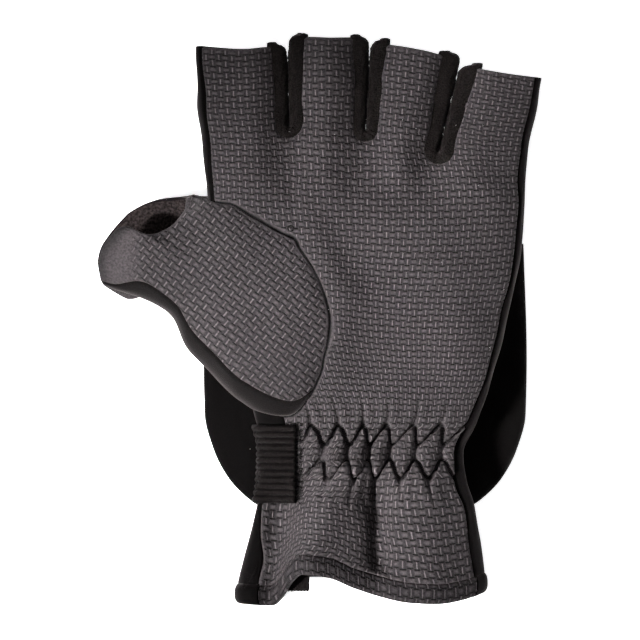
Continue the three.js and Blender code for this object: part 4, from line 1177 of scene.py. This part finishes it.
add_piece("palm", palm_part(), (WOVEN, LINING), "woven_cloth", "palm_panel")
add_piece("back", back_part(), (SMOOTH, LINING), "smooth_cloth", "back_panel")
for gap in FINGER_GAPS:
    add_piece("plush_" + gap.name, strip_part(gap), (PLUSH, LINING), "plush_cloth", "fourchette_" + gap.name)
add_piece("thumb_front", thumb_part("front"), (WOVEN, LINING), "woven_cloth", "thumb_front_panel")
add_piece("thumb_back", thumb_part("back"), (LIT_BACKING, LINING), "smooth_cloth", "thumb_back_panel")
add_piece("folded_thumb_cap", thumb_cap_part(), (LIT_CAP_FACE, LINING), "smooth_cloth", "thumb_cap")
for side in ("upper", "lower"):
    cap = mitten_cap_part(side)
    add_piece("folded_cap_" + side, cap, (SMOOTH, LINING), "smooth_cloth", "mitten_cap_" + side)
add_piece("hem_palm", hem_part(palm_turn, palm_hem_line, True), (SHADED_HEM_CLOTH,), "woven_cloth", "cuff_hem_palm")
add_piece("hem_back", hem_part(back_turn, back_hem_line, False), (SMOOTH,), "smooth_cloth", "cuff_hem_back")
add_piece("strap", strap_part(), (WEBBING, SMOOTH), "webbing", "wrist_strap")
add_piece("tab", tab_part(), (WEBBING, WEBBING), "webbing", "pull_tab")

# Loose ends: the bartack's loop, threads at the hem's knot and the strap's edge, and lint
rng = np.random.default_rng(19)


def on_palm(x, y, above):
    """Points in millimetres that lie above the palm."""
    return stack(x, y, hand_height(x, y, 1) + above)


def thread(start, heading, length, curl, above):
    """A loose thread on the palm's side, from a place of the plan."""
    t = np.linspace(0, 1, 12)
    angle = heading + curl * t
    x = start[0] + length * np.cumsum(np.cos(angle)) / len(t)
    y = start[1] + length * np.cumsum(np.sin(angle)) / len(t)
    return on_palm(x, y, above + 0.5 * np.sin(np.pi * t))


def random_place(across, along):
    return rng.uniform(*across) * PALM_WIDTH, rng.uniform(*along) * GLOVE_LENGTH


def beside_strap():
    x = STRAP_END * PALM_WIDTH + rng.uniform(-0.3, 0.5)
    return x, STRAP_TOP * GLOVE_LENGTH - rng.uniform(0, STRAP_WIDTH)


loop_turns = np.linspace(0, 1.85 * np.pi, 22)
loop = on_palm(
    LOOP_PLACE[0] * PALM_WIDTH + LOOP_RADIUS * np.cos(loop_turns),
    LOOP_PLACE[1] * GLOVE_LENGTH + LOOP_RADIUS * np.sin(loop_turns),
    LOOP_ABOVE + 0.2 * np.cos(loop_turns),
)
threads = [thread(
    random_place(KNOT_ACROSS, KNOT_ALONG),
    rng.uniform(0, 2 * np.pi), rng.uniform(3, 8), rng.uniform(-2.5, 2.5), rng.uniform(0.2, 0.6),
) for _ in range(KNOT_THREADS)]
threads += [thread(
    beside_strap(),
    rng.uniform(-1, 1), rng.uniform(0.8, 2.2), rng.uniform(-2, 2), rng.uniform(0.3, 1.2),
) for _ in range(STRAP_FUZZ)]
lint = [thread(
    random_place(LINT_ACROSS, LINT_ALONG),
    rng.uniform(0, 6), rng.uniform(0.3, 0.7), rng.uniform(-2, 2), LINT_ABOVE,
) for _ in range(LINT_SPECKS)]
add_piece("bartack_loop", tube([loop], 0.2), (THREAD,), "plush_cloth")
add_piece("loose_threads", tube(threads, THREAD_RADIUS), (THREAD,), "plush_cloth")
add_piece("lint", tube(lint, LINT_RADIUS, sides=4), (LINT,), "woven_cloth")

# Floor, light and camera
FLOOR_SIZE = 6.0
CAMERA_HEIGHT = 2.5
GLOVE_MIDDLE_HEIGHT = 0.025
FIELD_WIDTH = 0.224  # what the photograph shows across, at the middle of the glove's height
PIXEL = 0.00035  # of the photograph, in metres on the glove
PHOTO_MIDDLE = 320  # pixels
GLOVE_MIDDLE = (320.5, 321)  # pixels: where the shape functions have their origin
SENSOR = 36.0


def add_floor():
    end = FLOOR_SIZE / 2
    mesh = bpy.data.meshes.new("floor")
    mesh.from_pydata([(-end, -end, 0), (end, -end, 0), (end, end, 0), (-end, end, 0)], [], [(0, 1, 2, 3)])
    material, _, shader = new_material("floor")
    set_inputs(shader, {
        "Base Color": (0.9, 0.9, 0.9, 1), "Roughness": 0.9,
        "Emission Color": (1, 1, 1, 1), "Emission Strength": 0.85,
    })
    mesh.materials.append(material)
    floor = add_object("floor", mesh)


def light_world():
    world = bpy.data.worlds.new("studio")
    world.use_nodes = True
    set_inputs(world.node_tree.nodes["Background"], {"Color": (1, 1, 1, 1), "Strength": 0.14})
    bpy.context.scene.world = world
    bpy.context.scene.view_settings.view_transform = "Standard"


def area_light(name, location, size, power, spread=180, target=(0, 0, 0)):
    data = bpy.data.lights.new(name, "AREA")
    data.size = size
    data.energy = power
    data.spread = math.radians(spread)
    light = add_object(name, data)
    light.location = location
    light.rotation_euler = (Vector(target) - Vector(location)).to_track_quat("-Z", "Y").to_euler()


def add_camera():
    data = bpy.data.cameras.new("camera")
    data.type = "PERSP"
    data.sensor_width = SENSOR
    data.lens = SENSOR * CAMERA_HEIGHT / FIELD_WIDTH
    data.clip_end = 20
    camera = add_object("camera", data)
    camera.location = (
        (PHOTO_MIDDLE - GLOVE_MIDDLE[0]) * PIXEL + FRAME_SHIFT[0] / 1000,
        (GLOVE_MIDDLE[1] - PHOTO_MIDDLE) * PIXEL + FRAME_SHIFT[1] / 1000,
        CAMERA_HEIGHT + GLOVE_MIDDLE_HEIGHT,
    )
    bpy.context.scene.camera = camera


add_floor()
light_world()
area_light("main", (-0.1, 0.1, 1.4), size=0.7, power=1.6)
area_light("key", (-0.44, -0.2, 0.62), size=0.2, power=0.5, spread=11, target=(0.03, -0.01, 0.03))
area_light("left", (-0.9, -0.2, 0.3), size=0.4, power=0.7)
area_light("right", (0.9, 0.1, 0.3), size=0.4, power=1.5)
add_camera()
